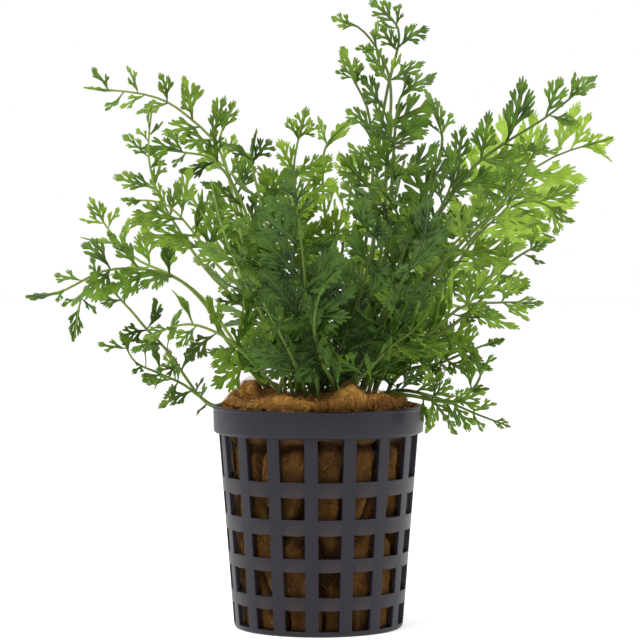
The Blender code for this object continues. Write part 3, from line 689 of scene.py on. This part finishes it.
def smooth_path(approach, points):
    """Closely spaced points on a smooth curve through the given ones, entered from approach."""
    around = [approach] + points + [2 * points[-1] - points[-2]]
    path = []
    for before, start, stop, after in zip(around, around[1:], around[2:], around[3:]):
        leaving = start + (stop - before) / 6
        arriving = stop - (after - start) / 6
        path += interpolate_bezier(start, leaving, arriving, stop, CURVE_POINTS)[:-1]
    return path + [points[-1]]


def point_at(path, share):
    """The point a share of the way along a path, and the path's heading there."""
    steps = [(b - a).length for a, b in zip(path, path[1:])]
    left = share * sum(steps)
    index = 0
    while left > steps[index] and index < len(steps) - 1:
        left -= steps[index]
        index += 1
    start, stop = path[index], path[index + 1]
    before = path[max(index - 1, 0)]
    after = path[min(index + 2, len(path) - 1)]
    return start.lerp(stop, left / steps[index]), (after - before).normalized()


def stalk_path(foot, route):
    """The stalk's line: straight up through the wool, then along its route."""
    x, y = foot[0] * MM, foot[1] * MM
    start = Vector((x, y, POCKET_FLOOR + GAP))
    surface = Vector((x, y, wool_height(x, y) + STALK_THICKNESS))
    points = [surface] + [Vector(point) * MM for point in route]
    straight_up = surface - Vector((0, 0, (points[1] - surface).length))
    return [start] + smooth_path(straight_up, points)


def face_direction(turn, tilt):
    """The way a blade's upper side faces, from its turn about Z and its tilt, in degrees."""
    turn = math.radians(turn)
    tilt = math.radians(tilt)
    return Vector((math.sin(turn) * math.cos(tilt), -math.cos(turn) * math.cos(tilt), math.sin(tilt)))


def blade_axes(heading, facing):
    """The blade's outward side and its upper side, square to its heading."""
    upper = (facing - heading * facing.dot(heading)).normalized()
    return heading.cross(upper), upper


def leaflet_pairs(path, bare, pairs, reach, facing, dice):
    """The share of the stalk where each pair stands, and its two leaflets as they would grow."""
    plan = []
    spacing = (1 - bare) / (pairs + 0.5)
    for pair in range(pairs):
        share = bare + spacing * (pair + FIRST_PAIR)
        base, heading = point_at(path, share)
        out, upper = blade_axes(heading, facing)
        growth = pair / (pairs - 1)
        length = reach * MM * (1 + LENGTH_SWELL * growth - LENGTH_TAPER * growth ** 2)
        angle = FOOT_LEAN + (TIP_LEAN - FOOT_LEAN) * growth
        for side in (-1, 1):
            fold = Quaternion(heading, -side * BLADE_FOLD)
            lean = angle + dice.uniform(-LEAN_SPREAD, LEAN_SPREAD)
            forward = fold @ (heading * math.cos(lean) + out * side * math.sin(lean))
            twist = Quaternion(forward, dice.uniform(-TWIST_SPREAD, TWIST_SPREAD))
            size = length * dice.uniform(*LENGTH_SPREAD)
            plan.append((share, side, base, heading, forward, twist @ fold @ upper, size))
    return plan


def kite(base, forward, upper, length, margin):
    """Corners and faces of the room that a leaflet needs."""
    across = upper.cross(forward)
    neck = across * (LEAFLET_NECK / 2 + margin)
    widest = across * (length * LEAFLET_WIDTH_SHARE / 2 + margin)
    rise = upper * (BLADE_THICKNESS / 2 + margin)
    middle = base + forward * length * WIDEST_AT
    start = base + forward * STALK_THICKNESS / 2
    tip = base + forward * (length + margin)
    corners = [start - neck - rise, start + neck - rise, start + neck + rise, start - neck + rise,
               middle - widest - rise, middle + widest - rise, middle + widest + rise,
               middle - widest + rise, tip]
    faces = [(0, 1, 2, 3), (0, 4, 5, 1), (1, 5, 6, 2), (2, 6, 7, 3), (3, 7, 4, 0),
             (4, 8, 5), (5, 8, 6), (6, 8, 7), (7, 8, 4)]
    return corners, faces


def reaches_pot(corners):
    """Whether a leaflet dips into the pot's mouth or the wool."""
    for corner in corners:
        inside = corner.xy.length < RIM_RADIUS + GAP
        if inside and corner.z < max(wool_height(corner.x, corner.y), POT_HEIGHT) + GAP:
            return True
    return False


def stalk_rings(path, plan, facing):
    """Three-cornered rings along the stalk, two close together wherever a pair of leaflets stands."""
    total = sum((b - a).length for a, b in zip(path, path[1:]))
    half_neck = LEAFLET_NECK / 2 / total
    pairs = sorted({leaflet[0] for leaflet in plan})
    surface = (path[1] - path[0]).length / total
    bends = [surface + (pairs[0] - surface) * step / BARE_BENDS for step in range(BARE_BENDS)]
    shares = [0] + bends + [share + shift for share in pairs for shift in (-half_neck, half_neck)]
    shares.append((2 * pairs[-1] + 1) / 3)
    rings = []
    for share in shares:
        middle, heading = point_at(path, share)
        out, upper = blade_axes(heading, facing)
        half = (STALK_THICKNESS + (TIP_THICKNESS - STALK_THICKNESS) * share) / 2
        rings.append([middle + half * (out * a + upper * b)
                      for a, b in ((-1, -1), (1, -1), (0, 1))])
    return shares, rings


def stalk_tree(rings):
    """A search tree of the stalk's three sides."""
    corners = [corner for ring in rings for corner in ring]
    faces = []
    for first in range(0, len(corners) - 3, 3):
        for side in range(3):
            after = (side + 1) % 3
            faces.append((first + side, first + after, first + 3 + after, first + 3 + side))
    return BVHTree.FromPolygons(corners, faces)


def end_corners(ring, tip):
    """The widest part of the end leaflet's room, halfway from the last ring to the tip."""
    centre = (ring[0] + ring[1] + ring[2]) / 3
    upper = (ring[2] - centre).normalized()
    across = (tip - centre).normalized().cross(upper)
    return [(centre + tip) / 2 + across * END_LEAFLET_WIDTH / 2 * a + upper * BLADE_THICKNESS / 2 * b
            for a, b in ((-1, -1), (1, -1), (0, 1))]


def grow_leaflets(frond, others):
    """Swing each leaflet clear of what already stands, shorten it, or leave it out."""
    shares, rings, tip = frond["shares"], frond["rings"], frond["path"][-1]
    grown = []
    trees = []
    end_tree = stalk_tree([rings[-1], end_corners(rings[-1], tip), [tip] * 3])
    for share, side, base, heading, forward, upper, length in frond["plan"]:
        below = sum(1 for ring_share in shares if ring_share < share)
        before = [low.lerp(high, 0.5) for low, high in zip(rings[below - 2], rings[below - 1])]
        after = [low.lerp(high, 0.5) for low, high in zip(rings[below], rings[below + 1])]
        own_stalk = [stalk_tree(rings[:below - 1] + [before]),
                     stalk_tree([after] + rings[below + 1:]), end_tree]
        for size, lift, turn in product(SIZES, LIFTS, TURNS):
            raised = Quaternion(heading, lift * side)
            new_upper = raised @ upper
            new_forward = Quaternion(new_upper, turn * side) @ (raised @ forward)
            corners, faces = kite(base, new_forward, new_upper, length * size, CLEARANCE)
            tree = BVHTree.FromPolygons(corners, faces)
            if reaches_pot(corners) or any(tree.overlap(other) for other in others + own_stalk + trees):
                continue
            grown.append((share, 0, new_forward, new_upper, length * size))
            trees.append(BVHTree.FromPolygons(*kite(base, new_forward, new_upper, length * size, 0)))
            break
    return grown, trees


# Shape of a leaflet, as shares of its length
LEAFLET_STALK_WIDTH = 0.055
LEAFLET_STALK_LENGTH = (0.05, 0.13)
WEDGE_WIDTH = 0.10
WEDGE_LENGTH = (0.06, 0.10)
WING_WIDTH = 0.11
WING_SWAY = 0.12
END_LOBE = 0.38
END_LOBE_SPREAD = (0.9, 1.1)
END_LOBE_SWAY = 0.2
SIDE_LOBE = 0.40
SIDE_LOBE_TAPER = 0.25
SIDE_LOBE_SPREAD = (0.8, 1.15)
SIDE_LOBE_LEAN = (0.60, 0.90)
BLADE_SHEET = 0.22 * MM
BLADE_EDGE_ANGLE = math.radians(50)
# Shape of a lobe, as shares of its length, and its slopes and turns
LOBE_WIDTH = (0.42, 0.56)
LOBE_PART = 0.34
LOBE_WAIST = 0.46
LOBE_RISE = (-0.4, 0.3)
LOBE_BEND = 0.15
LOBE_TEETH_SPREAD = 0.45
END_WIDTH = (0.44, 0.56)
END_NECK = 0.28
END_WAIST = 0.6
END_RISE = (-0.3, 0.2)
END_BEND = 0.1
END_TEETH_SPREAD = 0.36
# Teeth: the arch of their row, how they hang, how far they reach, and the two side teeth
TEETH_ARCH = 0.9
TOOTH_DROOP = (-0.5, 0.3)
OUTER_TOOTH_LOSS = 0.25
TOOTH_REACH = (0.7, 1.2)
TOOTH_SWAY = 0.1
SHOULDER_LENGTH = 0.62
SHOULDER_WIDTH = 0.80
POINT_LENGTH = 0.38
POINT_WIDTH = 0.38
SIDE_TOOTH_LEAN = (0.35, 0.6)
SIDE_TOOTH_LENGTH = 0.30
SIDE_TOOTH_WIDTH = 0.28
# How a leaflet curls from end to end, cups from side to side, twists and rolls
CURL = (-1.1, 0.6)
WILTED_CURL = (1.2, 1.8)
CUP = (-0.2, 1.3)
WILTED_CUP = 4
TWIST = 0.9
ROLL = 0.6
NARROWING = (0.68, 1.0)
WILTED_NARROWING = 0.45
# Leaflets are slimmer towards the sides of the clump, and hang more loosely the further left they are
LOOSE_REACH = 45 * MM
LOOSE_ROLL = 0.45
SIDE_NARROWING = 0.22


def extend(bm, pair, angle, length, width, rise=0.0):
    """Extrude the edge between two corners along a heading, to a new pair of corners."""
    heading = Vector((math.sin(angle), math.cos(angle), 0))
    right = Vector((heading.y, -heading.x, 0))
    middle = (pair[0].co + pair[1].co) / 2 + heading * length + Vector((0, 0, rise * length))
    made = bmesh.ops.extrude_edge_only(bm, edges=[bm.edges.get(pair)])["geom"]
    corners = [thing for thing in made if isinstance(thing, bmesh.types.BMVert)]
    face = next(thing for thing in made if isinstance(thing, bmesh.types.BMFace))
    left_first = (corners[0].co - pair[0].co).length < (corners[1].co - pair[0].co).length
    ends = corners if left_first else corners[::-1]
    ends[0].co = middle - right * width / 2
    ends[1].co = middle + right * width / 2
    blade = bm.loops.layers.uv["blade"]
    for loop in face.loops:
        outward = loop.vert.co.y + abs(loop.vert.co.x)
        loop[blade].uv = (0 if loop.vert in (pair[0], ends[0]) else 1, outward)
    return tuple(ends)


def cut_teeth(bm, pair, angle, length, teeth, spread, dice):
    """Part a lobe's end edge, arch it, and draw each share of it out to a narrow tooth."""
    heading = Vector((math.sin(angle), math.cos(angle), 0))
    width = (pair[1].co - pair[0].co).length
    row = [pair[0]]
    for parts_left in range(teeth, 1, -1):
        edge = bm.edges.get((row[-1], pair[1]))
        row.append(bmesh.utils.edge_split(edge, row[-1], 1 / parts_left)[1])
    for number, vert in enumerate(row):
        vert.co += heading * width * TEETH_ARCH * number / teeth * (1 - number / teeth)
    row.append(pair[1])
    droop = dice.uniform(*TOOTH_DROOP)
    for number, foot in enumerate(zip(row, row[1:])):
        lean = (2 * number + 1) / teeth - 1
        reach = length * (1 - OUTER_TOOTH_LOSS * abs(lean)) * dice.uniform(*TOOTH_REACH)
        turned = angle + lean * spread + dice.uniform(-TOOTH_SWAY, TOOTH_SWAY)
        grow_tooth(bm, foot, turned, reach, width / teeth, droop)


def grow_tooth(bm, pair, angle, length, width, droop):
    """A short tooth, nearly as broad as its foot and then blunt."""
    shoulder = extend(bm, pair, angle, SHOULDER_LENGTH * length, SHOULDER_WIDTH * width, droop)
    extend(bm, shoulder, angle, POINT_LENGTH * length, POINT_WIDTH * width, droop)


def grow_lobe(bm, pair, angle, length, teeth, dice):
    """A wedge that widens from its foot to a rounded end of short teeth."""
    rise = dice.uniform(*LOBE_RISE)
    wide = length * dice.uniform(*LOBE_WIDTH)
    bent = angle + dice.uniform(-LOBE_BEND, LOBE_BEND)
    part = LOBE_PART * length
    low = extend(bm, pair, angle, part, LOBE_WAIST * wide, rise)
    top = extend(bm, low, bent, part, wide, rise)
    cut_teeth(bm, top, bent, part, teeth, LOBE_TEETH_SPREAD, dice)


def grow_end_lobe(bm, pair, angle, length, teeth, dice):
    """A lobe with a pair of side teeth below the teeth of its end."""
    wide = length * dice.uniform(*END_WIDTH)
    rise = dice.uniform(*END_RISE)
    part = LOBE_PART * length
    low = extend(bm, pair, angle, END_NECK * length, END_WAIST * wide)
    top = extend(bm, low, angle + dice.uniform(-END_BEND, END_BEND), part, wide, rise)
    for side, edge in ((-1, (low[0], top[0])), (1, (top[1], low[1]))):
        turned = angle + side * dice.uniform(*SIDE_TOOTH_LEAN)
        grow_tooth(bm, edge, turned, SIDE_TOOTH_LENGTH * length, SIDE_TOOTH_WIDTH * length, rise)
    cut_teeth(bm, top, angle, part, teeth, END_TEETH_SPREAD, dice)


def draw_leaflet(bm, lobes, dice):
    """A flat leaflet of length one along +Y: bare stalk, wedge, side lobes, end lobe."""
    half = LEAFLET_STALK_WIDTH / 2
    pair = (bm.verts.new((-half, 0, 0)), bm.verts.new((half, 0, 0)))
    bm.edges.new(pair)
    bare = dice.uniform(*LEAFLET_STALK_LENGTH)
    wedge = dice.uniform(*WEDGE_LENGTH)
    pair = extend(bm, pair, 0, bare, LEAFLET_STALK_WIDTH)
    pair = extend(bm, pair, 0, wedge, WEDGE_WIDTH)
    step = (1 - END_LOBE - bare - wedge) / lobes
    first = dice.choice((-1, 1))
    for lobe in range(lobes):
        low = pair
        pair = extend(bm, pair, dice.uniform(-WING_SWAY, WING_SWAY), step, WING_WIDTH)
        side = first if lobe % 2 else -first
        foot = (low[0], pair[0]) if side < 0 else (pair[1], low[1])
        length = SIDE_LOBE * (1 - SIDE_LOBE_TAPER * lobe / lobes) * dice.uniform(*SIDE_LOBE_SPREAD)
        lean = side * dice.uniform(*SIDE_LOBE_LEAN)
        grow_lobe(bm, foot, lean, length, dice.choice((2, 2, 3, 3)), dice)
    end_length = END_LOBE * dice.uniform(*END_LOBE_SPREAD)
    end_lean = dice.uniform(-END_LOBE_SWAY, END_LOBE_SWAY)
    grow_end_lobe(bm, pair, end_lean, end_length, dice.choice((3, 4)), dice)


def place_leaflet(bm, base, forward, upper, length, lobes, wilted, shade, dice):
    """Draw a leaflet, curl and cup it, give it its thickness and stand it on the stalk."""
    before = set(bm.verts)
    draw_leaflet(bm, lobes, dice)
    grown = [vert for vert in bm.verts if vert not in before]
    tint_and_shade_mark = bm.verts.layers.float["tint_and_shade"]
    wilt_mark = bm.verts.layers.float["wilt"]
    # Painted shade lowers the tint of the low leaflets
    tint_and_shade = dice.uniform(-1, 1) - shade
    loose = min(1, max(0, -base.x / LOOSE_REACH))
    slim = 1 - SIDE_NARROWING * min(1, abs(base.x) / LOOSE_REACH)
    upper = Quaternion(forward, dice.uniform(-1, 1) * (ROLL + LOOSE_ROLL * loose)) @ upper
    if wilted:
        curl = dice.choice((-1, 1)) * dice.uniform(*WILTED_CURL)
        narrow = WILTED_NARROWING
        cup = WILTED_CUP * dice.uniform(*CUP)
    else:
        curl = dice.uniform(*CURL)
        narrow = dice.uniform(*NARROWING) * slim
        cup = dice.uniform(*CUP)
    twist = dice.uniform(-TWIST, TWIST)
    across = forward.cross(upper)
    for vert in grown:
        x, y = vert.co.x * narrow, vert.co.y
        angle = curl * (y - 0.5)
        line_y = (math.sin(angle) + math.sin(curl / 2)) / curl
        line_z = (math.cos(curl / 2) - math.cos(angle)) / curl
        roll = twist * y
        height = cup * x * x
        side = x * math.cos(roll) - height * math.sin(roll)
        lift = x * math.sin(roll) + height * math.cos(roll)
        place = Vector((side, line_y - lift * math.sin(angle), line_z + lift * math.cos(angle))) * length
        vert.co = base + across * place.x + forward * place.y + upper * place.z
        vert[tint_and_shade_mark] = tint_and_shade
        vert[wilt_mark] = 1.0 if wilted else 0.0
    faces = list({face for vert in grown for face in vert.link_faces})
    bmesh.ops.recalc_face_normals(bm, faces=faces)
    bmesh.ops.solidify(bm, geom=faces, thickness=BLADE_SHEET)


STALK_SIDES = 6
FOOT_RADIUS = 0.55 * MM
# Radius above the foot and how much of it is lost by the tip, in millimetres
STALK_RADIUS = 0.54
STALK_LOSS = 0.34
STALK_TAPER = 1.1


def grow_stalk(bm, path):
    """Extrude a six-sided ring along the stalk's line, slimmer towards its tip."""
    points = path[:2] + path[2:-1:2] + [path[-1]]
    heading = (points[1] - points[0]).normalized()
    foot = [bm.verts.new(corner) for corner in ring_about(points[0], heading, FOOT_RADIUS, STALK_SIDES)]
    end = bm.faces.new(foot)
    stalk_mark = bm.verts.layers.float["stalk"]
    for index, point in enumerate(points[1:], 1):
        share = index / (len(points) - 1)
        after = points[min(index + 1, len(points) - 1)]
        turned = heading.rotation_difference((after - points[index - 1]).normalized())
        heading = turned @ heading
        radius = (STALK_RADIUS - STALK_LOSS * share ** STALK_TAPER) * MM
        end = bmesh.ops.extrude_discrete_faces(bm, faces=[end])["faces"][0]
        centre = sum((vert.co for vert in end.verts), Vector()) / STALK_SIDES
        for vert in end.verts:
            vert.co = point + (turned @ (vert.co - centre)).normalized() * radius
    for vert in bm.verts:
        vert[stalk_mark] = 1.0
    bm.faces.new(foot)


# The stalks are pale on the left of the clump and dull green on its right
PALE_SIDE = (-12 * MM, 6 * MM)
DULL_SHARE = 0.6
DULL_STALK = (0.050, 0.092, 0.015, 1)
WILTED_GREEN = (0.085, 0.135, 0.022, 1)
VEIN_SHARE = 0.38
LEAF_GLOSS = 0.19


def leaf_group():
    """Colour, gloss and relief that all the leaf materials share."""
    group = bpy.data.node_groups.new("leaf tissue", "ShaderNodeTree")
    for name in ("Deep", "Light", "Stalk"):
        group.interface.new_socket(name, in_out="INPUT", socket_type="NodeSocketColor")
    group.interface.new_socket("Color", in_out="OUTPUT", socket_type="NodeSocketColor")
    group.interface.new_socket("Roughness", in_out="OUTPUT", socket_type="NodeSocketFloat")
    group.interface.new_socket("Height", in_out="OUTPUT", socket_type="NodeSocketFloat")
    given = group.nodes.new("NodeGroupInput")
    result = group.nodes.new("NodeGroupOutput")
    place = add_node(group, "ShaderNodeTexCoord").outputs["Object"]
    cloud = noise_value(group, place, 330, 4)
    cells = noise_value(group, place, 2600, 2)
    blade = add_node(group, "ShaderNodeUVMap", uv_map="blade").outputs[0]
    split = add_node(group, "ShaderNodeSeparateXYZ", {"Vector": blade})

    # Young tissue at the teeth is lighter, each leaflet has its own tint, low leaflets carry painted shade
    # in it, and clouds break it up
    outer = stretch(group, split.outputs["Y"], 0.35, 1.15, -0.16, 0.24)
    leaflet_tint_and_shade = stretch(group, painted(group, "tint_and_shade"), -2, 1, 0.0, 0.62)
    mottle = stretch(group, cloud, 0.32, 0.68, -0.34, 0.36)
    share = combine(group, "ADD", combine(group, "ADD", outer, leaflet_tint_and_shade), mottle, use_clamp=True)
    green = mix_colours(group, share, given.outputs["Deep"], given.outputs["Light"])

    # The vein runs down the middle of the leaflet and of each lobe
    from_middle = combine(group, "ABSOLUTE", combine(group, "SUBTRACT", split.outputs["X"], 0.5))
    vein = stretch(group, from_middle, 0.04, 0.17, 1, 0)
    veined = mix_colours(group, combine(group, "MULTIPLY", vein, VEIN_SHARE), green, given.outputs["Stalk"])
    wilted = mix_colours(group, painted(group, "wilt"), veined, WILTED_GREEN)
    side = add_node(group, "ShaderNodeSeparateXYZ", {"Vector": place}).outputs["X"]
    right = stretch(group, side, *PALE_SIDE, 0, DULL_SHARE)
    dull = mix_colours(group, right, given.outputs["Stalk"], DULL_STALK)
    final = mix_colours(group, painted(group, "stalk"), wilted, dull)
    group.links.new(final, result.inputs["Color"])
    group.links.new(stretch(group, cloud, *CLOUD_RANGE, 0.36, 0.54), result.inputs["Roughness"])
    group.links.new(combine(group, "ADD", vein, cells), result.inputs["Height"])
    return group


LEAF_GROUP = leaf_group()

# Each green: its deep and light tissue, its stalks, and how much light comes through
GREENS = {
    "deep": ((0.010, 0.034, 0.005), (0.082, 0.175, 0.022), (0.150, 0.220, 0.045), 0.16),
    "mid": ((0.022, 0.068, 0.006), (0.190, 0.345, 0.032), (0.220, 0.320, 0.060), 0.24),
    "fresh": ((0.048, 0.128, 0.008), (0.310, 0.480, 0.045), (0.270, 0.370, 0.075), 0.30),
    "bright": ((0.115, 0.245, 0.011), (0.440, 0.620, 0.060), (0.320, 0.440, 0.085), 0.38),
    "lime": ((0.240, 0.410, 0.025), (0.600, 0.780, 0.130), (0.400, 0.520, 0.110), 0.46),
}


def leaf_material(green):
    """Thin living leaf: a soft gloss above, and light that comes through from behind."""
    made, tree, shader = new_material("leaf " + green, 0.45)
    deep, light, stalk, through = GREENS[green]
    tissue = add_node(tree, "ShaderNodeGroup", node_tree=LEAF_GROUP)
    for socket, colour in (("Deep", deep), ("Light", light), ("Stalk", stalk)):
        tissue.inputs[socket].default_value = (*colour, 1)
    bump = add_node(tree, "ShaderNodeBump", {"Height": tissue.outputs["Height"], "Strength": 0.35,
                                             "Distance": 0.16 * MM}).outputs[0]
    tree.links.new(tissue.outputs["Color"], shader.inputs["Base Color"])
    tree.links.new(tissue.outputs["Roughness"], shader.inputs["Roughness"])
    tree.links.new(bump, shader.inputs["Normal"])
    shader.inputs["Specular IOR Level"].default_value = LEAF_GLOSS
    glow = add_node(tree, "ShaderNodeBsdfTranslucent", {"Color": tissue.outputs["Color"], "Normal": bump})
    both = add_node(tree, "ShaderNodeMixShader", {0: through, 1: shader.outputs[0], 2: glow.outputs[0]})
    tree.links.new(both.outputs[0], tree.nodes["Material Output"].inputs["Surface"])
    return made


LEAVES = {green: leaf_material(green) for green in GREENS}
LARGE_LEAFLET = 10.5 * MM
SMALL_LEAFLET = 7.5 * MM
WILTED_SHARE = 0.008
BASE_SHIFT = 0.025
LENGTH_CHANGE = (0.80, 1.18)


def make_frond(frond, leaflets, dice):
    """One frond: its stalk, its pairs of leaflets and the leaflet at its end."""
    path = frond["path"]
    bm = bmesh.new()
    bm.loops.layers.uv.new("blade")
    for mark in ("tint_and_shade", "wilt", "stalk"):
        bm.verts.layers.float.new(mark)
    grow_stalk(bm, path)
    for share, shade, forward, upper, length in leaflets:
        base = point_at(path, share + dice.uniform(-BASE_SHIFT, BASE_SHIFT))[0]
        length *= dice.uniform(*LENGTH_CHANGE)
        lobes = 5 if length > LARGE_LEAFLET else 4 if length > SMALL_LEAFLET else 2
        wilted = dice.random() < WILTED_SHARE
        place_leaflet(bm, base, forward, upper, length, lobes, wilted, shade, dice)
    base = point_at(path, frond["plan"][-1][0])[0]
    forward = path[-1] - base
    upper = blade_axes(forward.normalized(), frond["facing"])[1]
    place_leaflet(bm, base, forward.normalized(), upper, forward.length, 4, False, 0, dice)
    bmesh.ops.recalc_face_normals(bm, faces=bm.faces)
    piece = add_piece("fern_" + frond["name"], bm, LEAVES[frond["green"]])
    piece.data.set_sharp_from_angle(angle=BLADE_EDGE_ANGLE)
    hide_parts("frond_" + frond["name"])


# Where small leaflets, darkened with painted shade, fill the clump near the wool. They stay higher in front
# of its lumps
LOW_LEFT = -17 * MM
LOW_RIGHT = 30 * MM
LOW_TOP = 108 * MM
LOW_FOOT = 59 * MM
REAR_FOOT = 55.5 * MM
FRONT_LUMPS = -13 * MM
LEFT_LUMP = -11 * MM
# How often one is tried on a stalk, how far up it, how far it leans in degrees, its size and painted shade
LOW_TRIES = 55
LOW_SHARES = (0.08, 0.15)
LOW_LEANS = (35, 85)
LOW_SIZES = (0.45, 0.85)
LOW_SHADE = 1.3
TOWARDS_LIGHT = Vector((0, 0, 0.6))
# The two stalks that lean over the pot's left edge carry a few leaflets just beyond it
EDGE_SIDE = -27 * MM
EDGE_TOP = 61 * MM
EDGE_SHARE = 0.35


def grow_low_leaflets(frond, others, dice):
    """Leaflets every way round the lower stalk, wherever there is room."""
    path, facing = frond["path"], frond["facing"]
    grown = []
    trees = []
    for _ in range(LOW_TRIES):
        share = dice.uniform(LOW_SHARES[0], frond["bare"] + LOW_SHARES[1])
        lean = math.radians(dice.uniform(*LOW_LEANS))
        turn = dice.uniform(0, math.tau)
        length = frond["reach"] * MM * dice.uniform(*LOW_SIZES)
        base, heading = point_at(path, share)
        at_edge = base.x < EDGE_SIDE and base.z < EDGE_TOP and dice.random() < EDGE_SHARE
        in_clump = LOW_LEFT < base.x < LOW_RIGHT and base.z < LOW_TOP
        if not (at_edge or in_clump):
            continue
        out, upper = blade_axes(heading, facing)
        side = Quaternion(heading, turn) @ out
        forward = heading * math.cos(lean) + side * math.sin(lean)
        lit = facing + TOWARDS_LIGHT
        upper = (lit - forward * lit.dot(forward)).normalized()
        corners, faces = kite(base, forward, upper, length, 0)
        tree = BVHTree.FromPolygons(corners, faces)
        before_lump = any(corner.y < FRONT_LUMPS or corner.x < LEFT_LUMP for corner in corners)
        lowest = min(corner.z for corner in corners)
        too_low = in_clump and lowest < (LOW_FOOT if before_lump else REAR_FOOT)
        if too_low or reaches_pot(corners) or any(tree.overlap(other) for other in others + trees):
            continue
        # Painted shade: the lower a leaflet stands in the clump, the darker it is; those at the pot's edge
        # get none
        shade = 0 if at_edge else LOW_SHADE * (LOW_TOP - base.z) / (LOW_TOP - LOW_FOOT)
        grown.append((share, shade, forward, upper, length))
        trees.append(tree)
    return grown, trees


def make_fronds():
    """All stalks stand first. The leaflets then fill in, frond by frond, and the low ones last."""
    dice = random.Random(7)
    fronds = []
    for name, foot, route, bare, pairs, reach, turns, green in FRONDS:
        path = stalk_path(foot, route)
        facing = face_direction(*turns)
        plan = leaflet_pairs(path, bare, pairs, reach, facing, dice)
        shares, rings = stalk_rings(path, plan, facing)
        fronds.append({"name": name, "path": path, "bare": bare, "facing": facing, "plan": plan,
                       "shares": shares, "rings": rings, "tree": stalk_tree(rings), "green": green,
                       "reach": reach})
    leaflet_trees = []
    for frond in fronds:
        others = [other["tree"] for other in fronds if other is not frond] + leaflet_trees
        frond["leaflets"], trees = grow_leaflets(frond, others)
        leaflet_trees += trees
    for number, frond in enumerate(fronds):
        others = [other["tree"] for other in fronds if other is not frond] + leaflet_trees
        low, trees = grow_low_leaflets(frond, others, random.Random(300 + number))
        leaflet_trees += trees
        make_frond(frond, frond["leaflets"] + low, random.Random(100 + number))


make_fronds()


# Studio
# A pale matt floor, white surroundings and two large soft lights, with the camera level with the
# fronds, about two thirds of a metre away.

FLOOR_SIZE = 6.0
FLOOR_GLOW = 0.35
DIM_WALL = 0.25
CAMERA_PLACE = (0, -0.654, 0.094)
CAMERA_DIP = 0.03364
FOCAL_PIXELS = 2791
FRAME_PIXELS = 640
SENSOR_WIDTH = 36
SHIFT_PIXELS = 1.5
PLANT_MIDDLE = Vector((0, 0, 0.08))


def make_floor():
    """A square sheet under the pot."""
    bm = bmesh.new()
    bmesh.ops.create_grid(bm, x_segments=1, y_segments=1, size=FLOOR_SIZE / 2)
    mesh = bpy.data.meshes.new("floor")
    bm.to_mesh(mesh)
    bm.free()
    made, _, shader = new_material("pale floor", 0.9)
    shader.inputs["Base Color"].default_value = (0.92, 0.92, 0.92, 1)
    shader.inputs["Specular IOR Level"].default_value = 0.1
    # The sweep is lit from below too, so that it is as white as the walls
    shader.inputs["Emission Color"].default_value = (1, 1, 1, 1)
    shader.inputs["Emission Strength"].default_value = FLOOR_GLOW
    mesh.materials.append(made)
    floor = bpy.data.objects.new("floor", mesh)
    bpy.context.scene.collection.objects.link(floor)


def add_softbox(name, place, size, power):
    """A square area light that faces the middle of the plant."""
    lamp = bpy.data.lights.new(name, "AREA")
    lamp.size = size
    lamp.energy = power
    box = bpy.data.objects.new(name, lamp)
    box.location = place
    box.rotation_euler = (PLANT_MIDDLE - Vector(place)).to_track_quat("-Z", "Y").to_euler()
    bpy.context.scene.collection.objects.link(box)


def set_studio():
    """Surroundings, lights and the camera."""
    scene = bpy.context.scene
    world = bpy.data.worlds.new("studio")
    world.use_nodes = True
    sky = world.node_tree
    # The walls behind and beside the plant are brighter than the dim side that the camera stands on
    way = add_node(sky, "ShaderNodeTexCoord").outputs["Generated"]
    split = add_node(sky, "ShaderNodeSeparateXYZ", {"Vector": way})
    walls = stretch(sky, split.outputs["Y"], -0.8, 0.6, DIM_WALL, 1.0)
    seen = add_node(sky, "ShaderNodeLightPath").outputs["Is Camera Ray"]
    light = combine(sky, "MAXIMUM", walls, seen)
    sky.nodes["Background"].inputs["Color"].default_value = (1, 1, 1, 1)
    sky.links.new(light, sky.nodes["Background"].inputs["Strength"])
    scene.world = world
    add_softbox("key light", (-0.45, -0.55, 0.95), 0.5, 10)
    add_softbox("fill light", (0.8, -0.4, 0.6), 0.6, 5)
    lens = bpy.data.cameras.new("camera")
    lens.sensor_width = SENSOR_WIDTH
    lens.lens = SENSOR_WIDTH * FOCAL_PIXELS / FRAME_PIXELS
    lens.shift_x = SHIFT_PIXELS / FRAME_PIXELS
    lens.clip_start = 0.01
    camera = bpy.data.objects.new("camera", lens)
    camera.location = CAMERA_PLACE
    camera.rotation_euler = (math.pi / 2 - CAMERA_DIP, 0, 0)
    scene.collection.objects.link(camera)
    scene.camera = camera
    scene.view_settings.view_transform = "Standard"


make_floor()
set_studio()
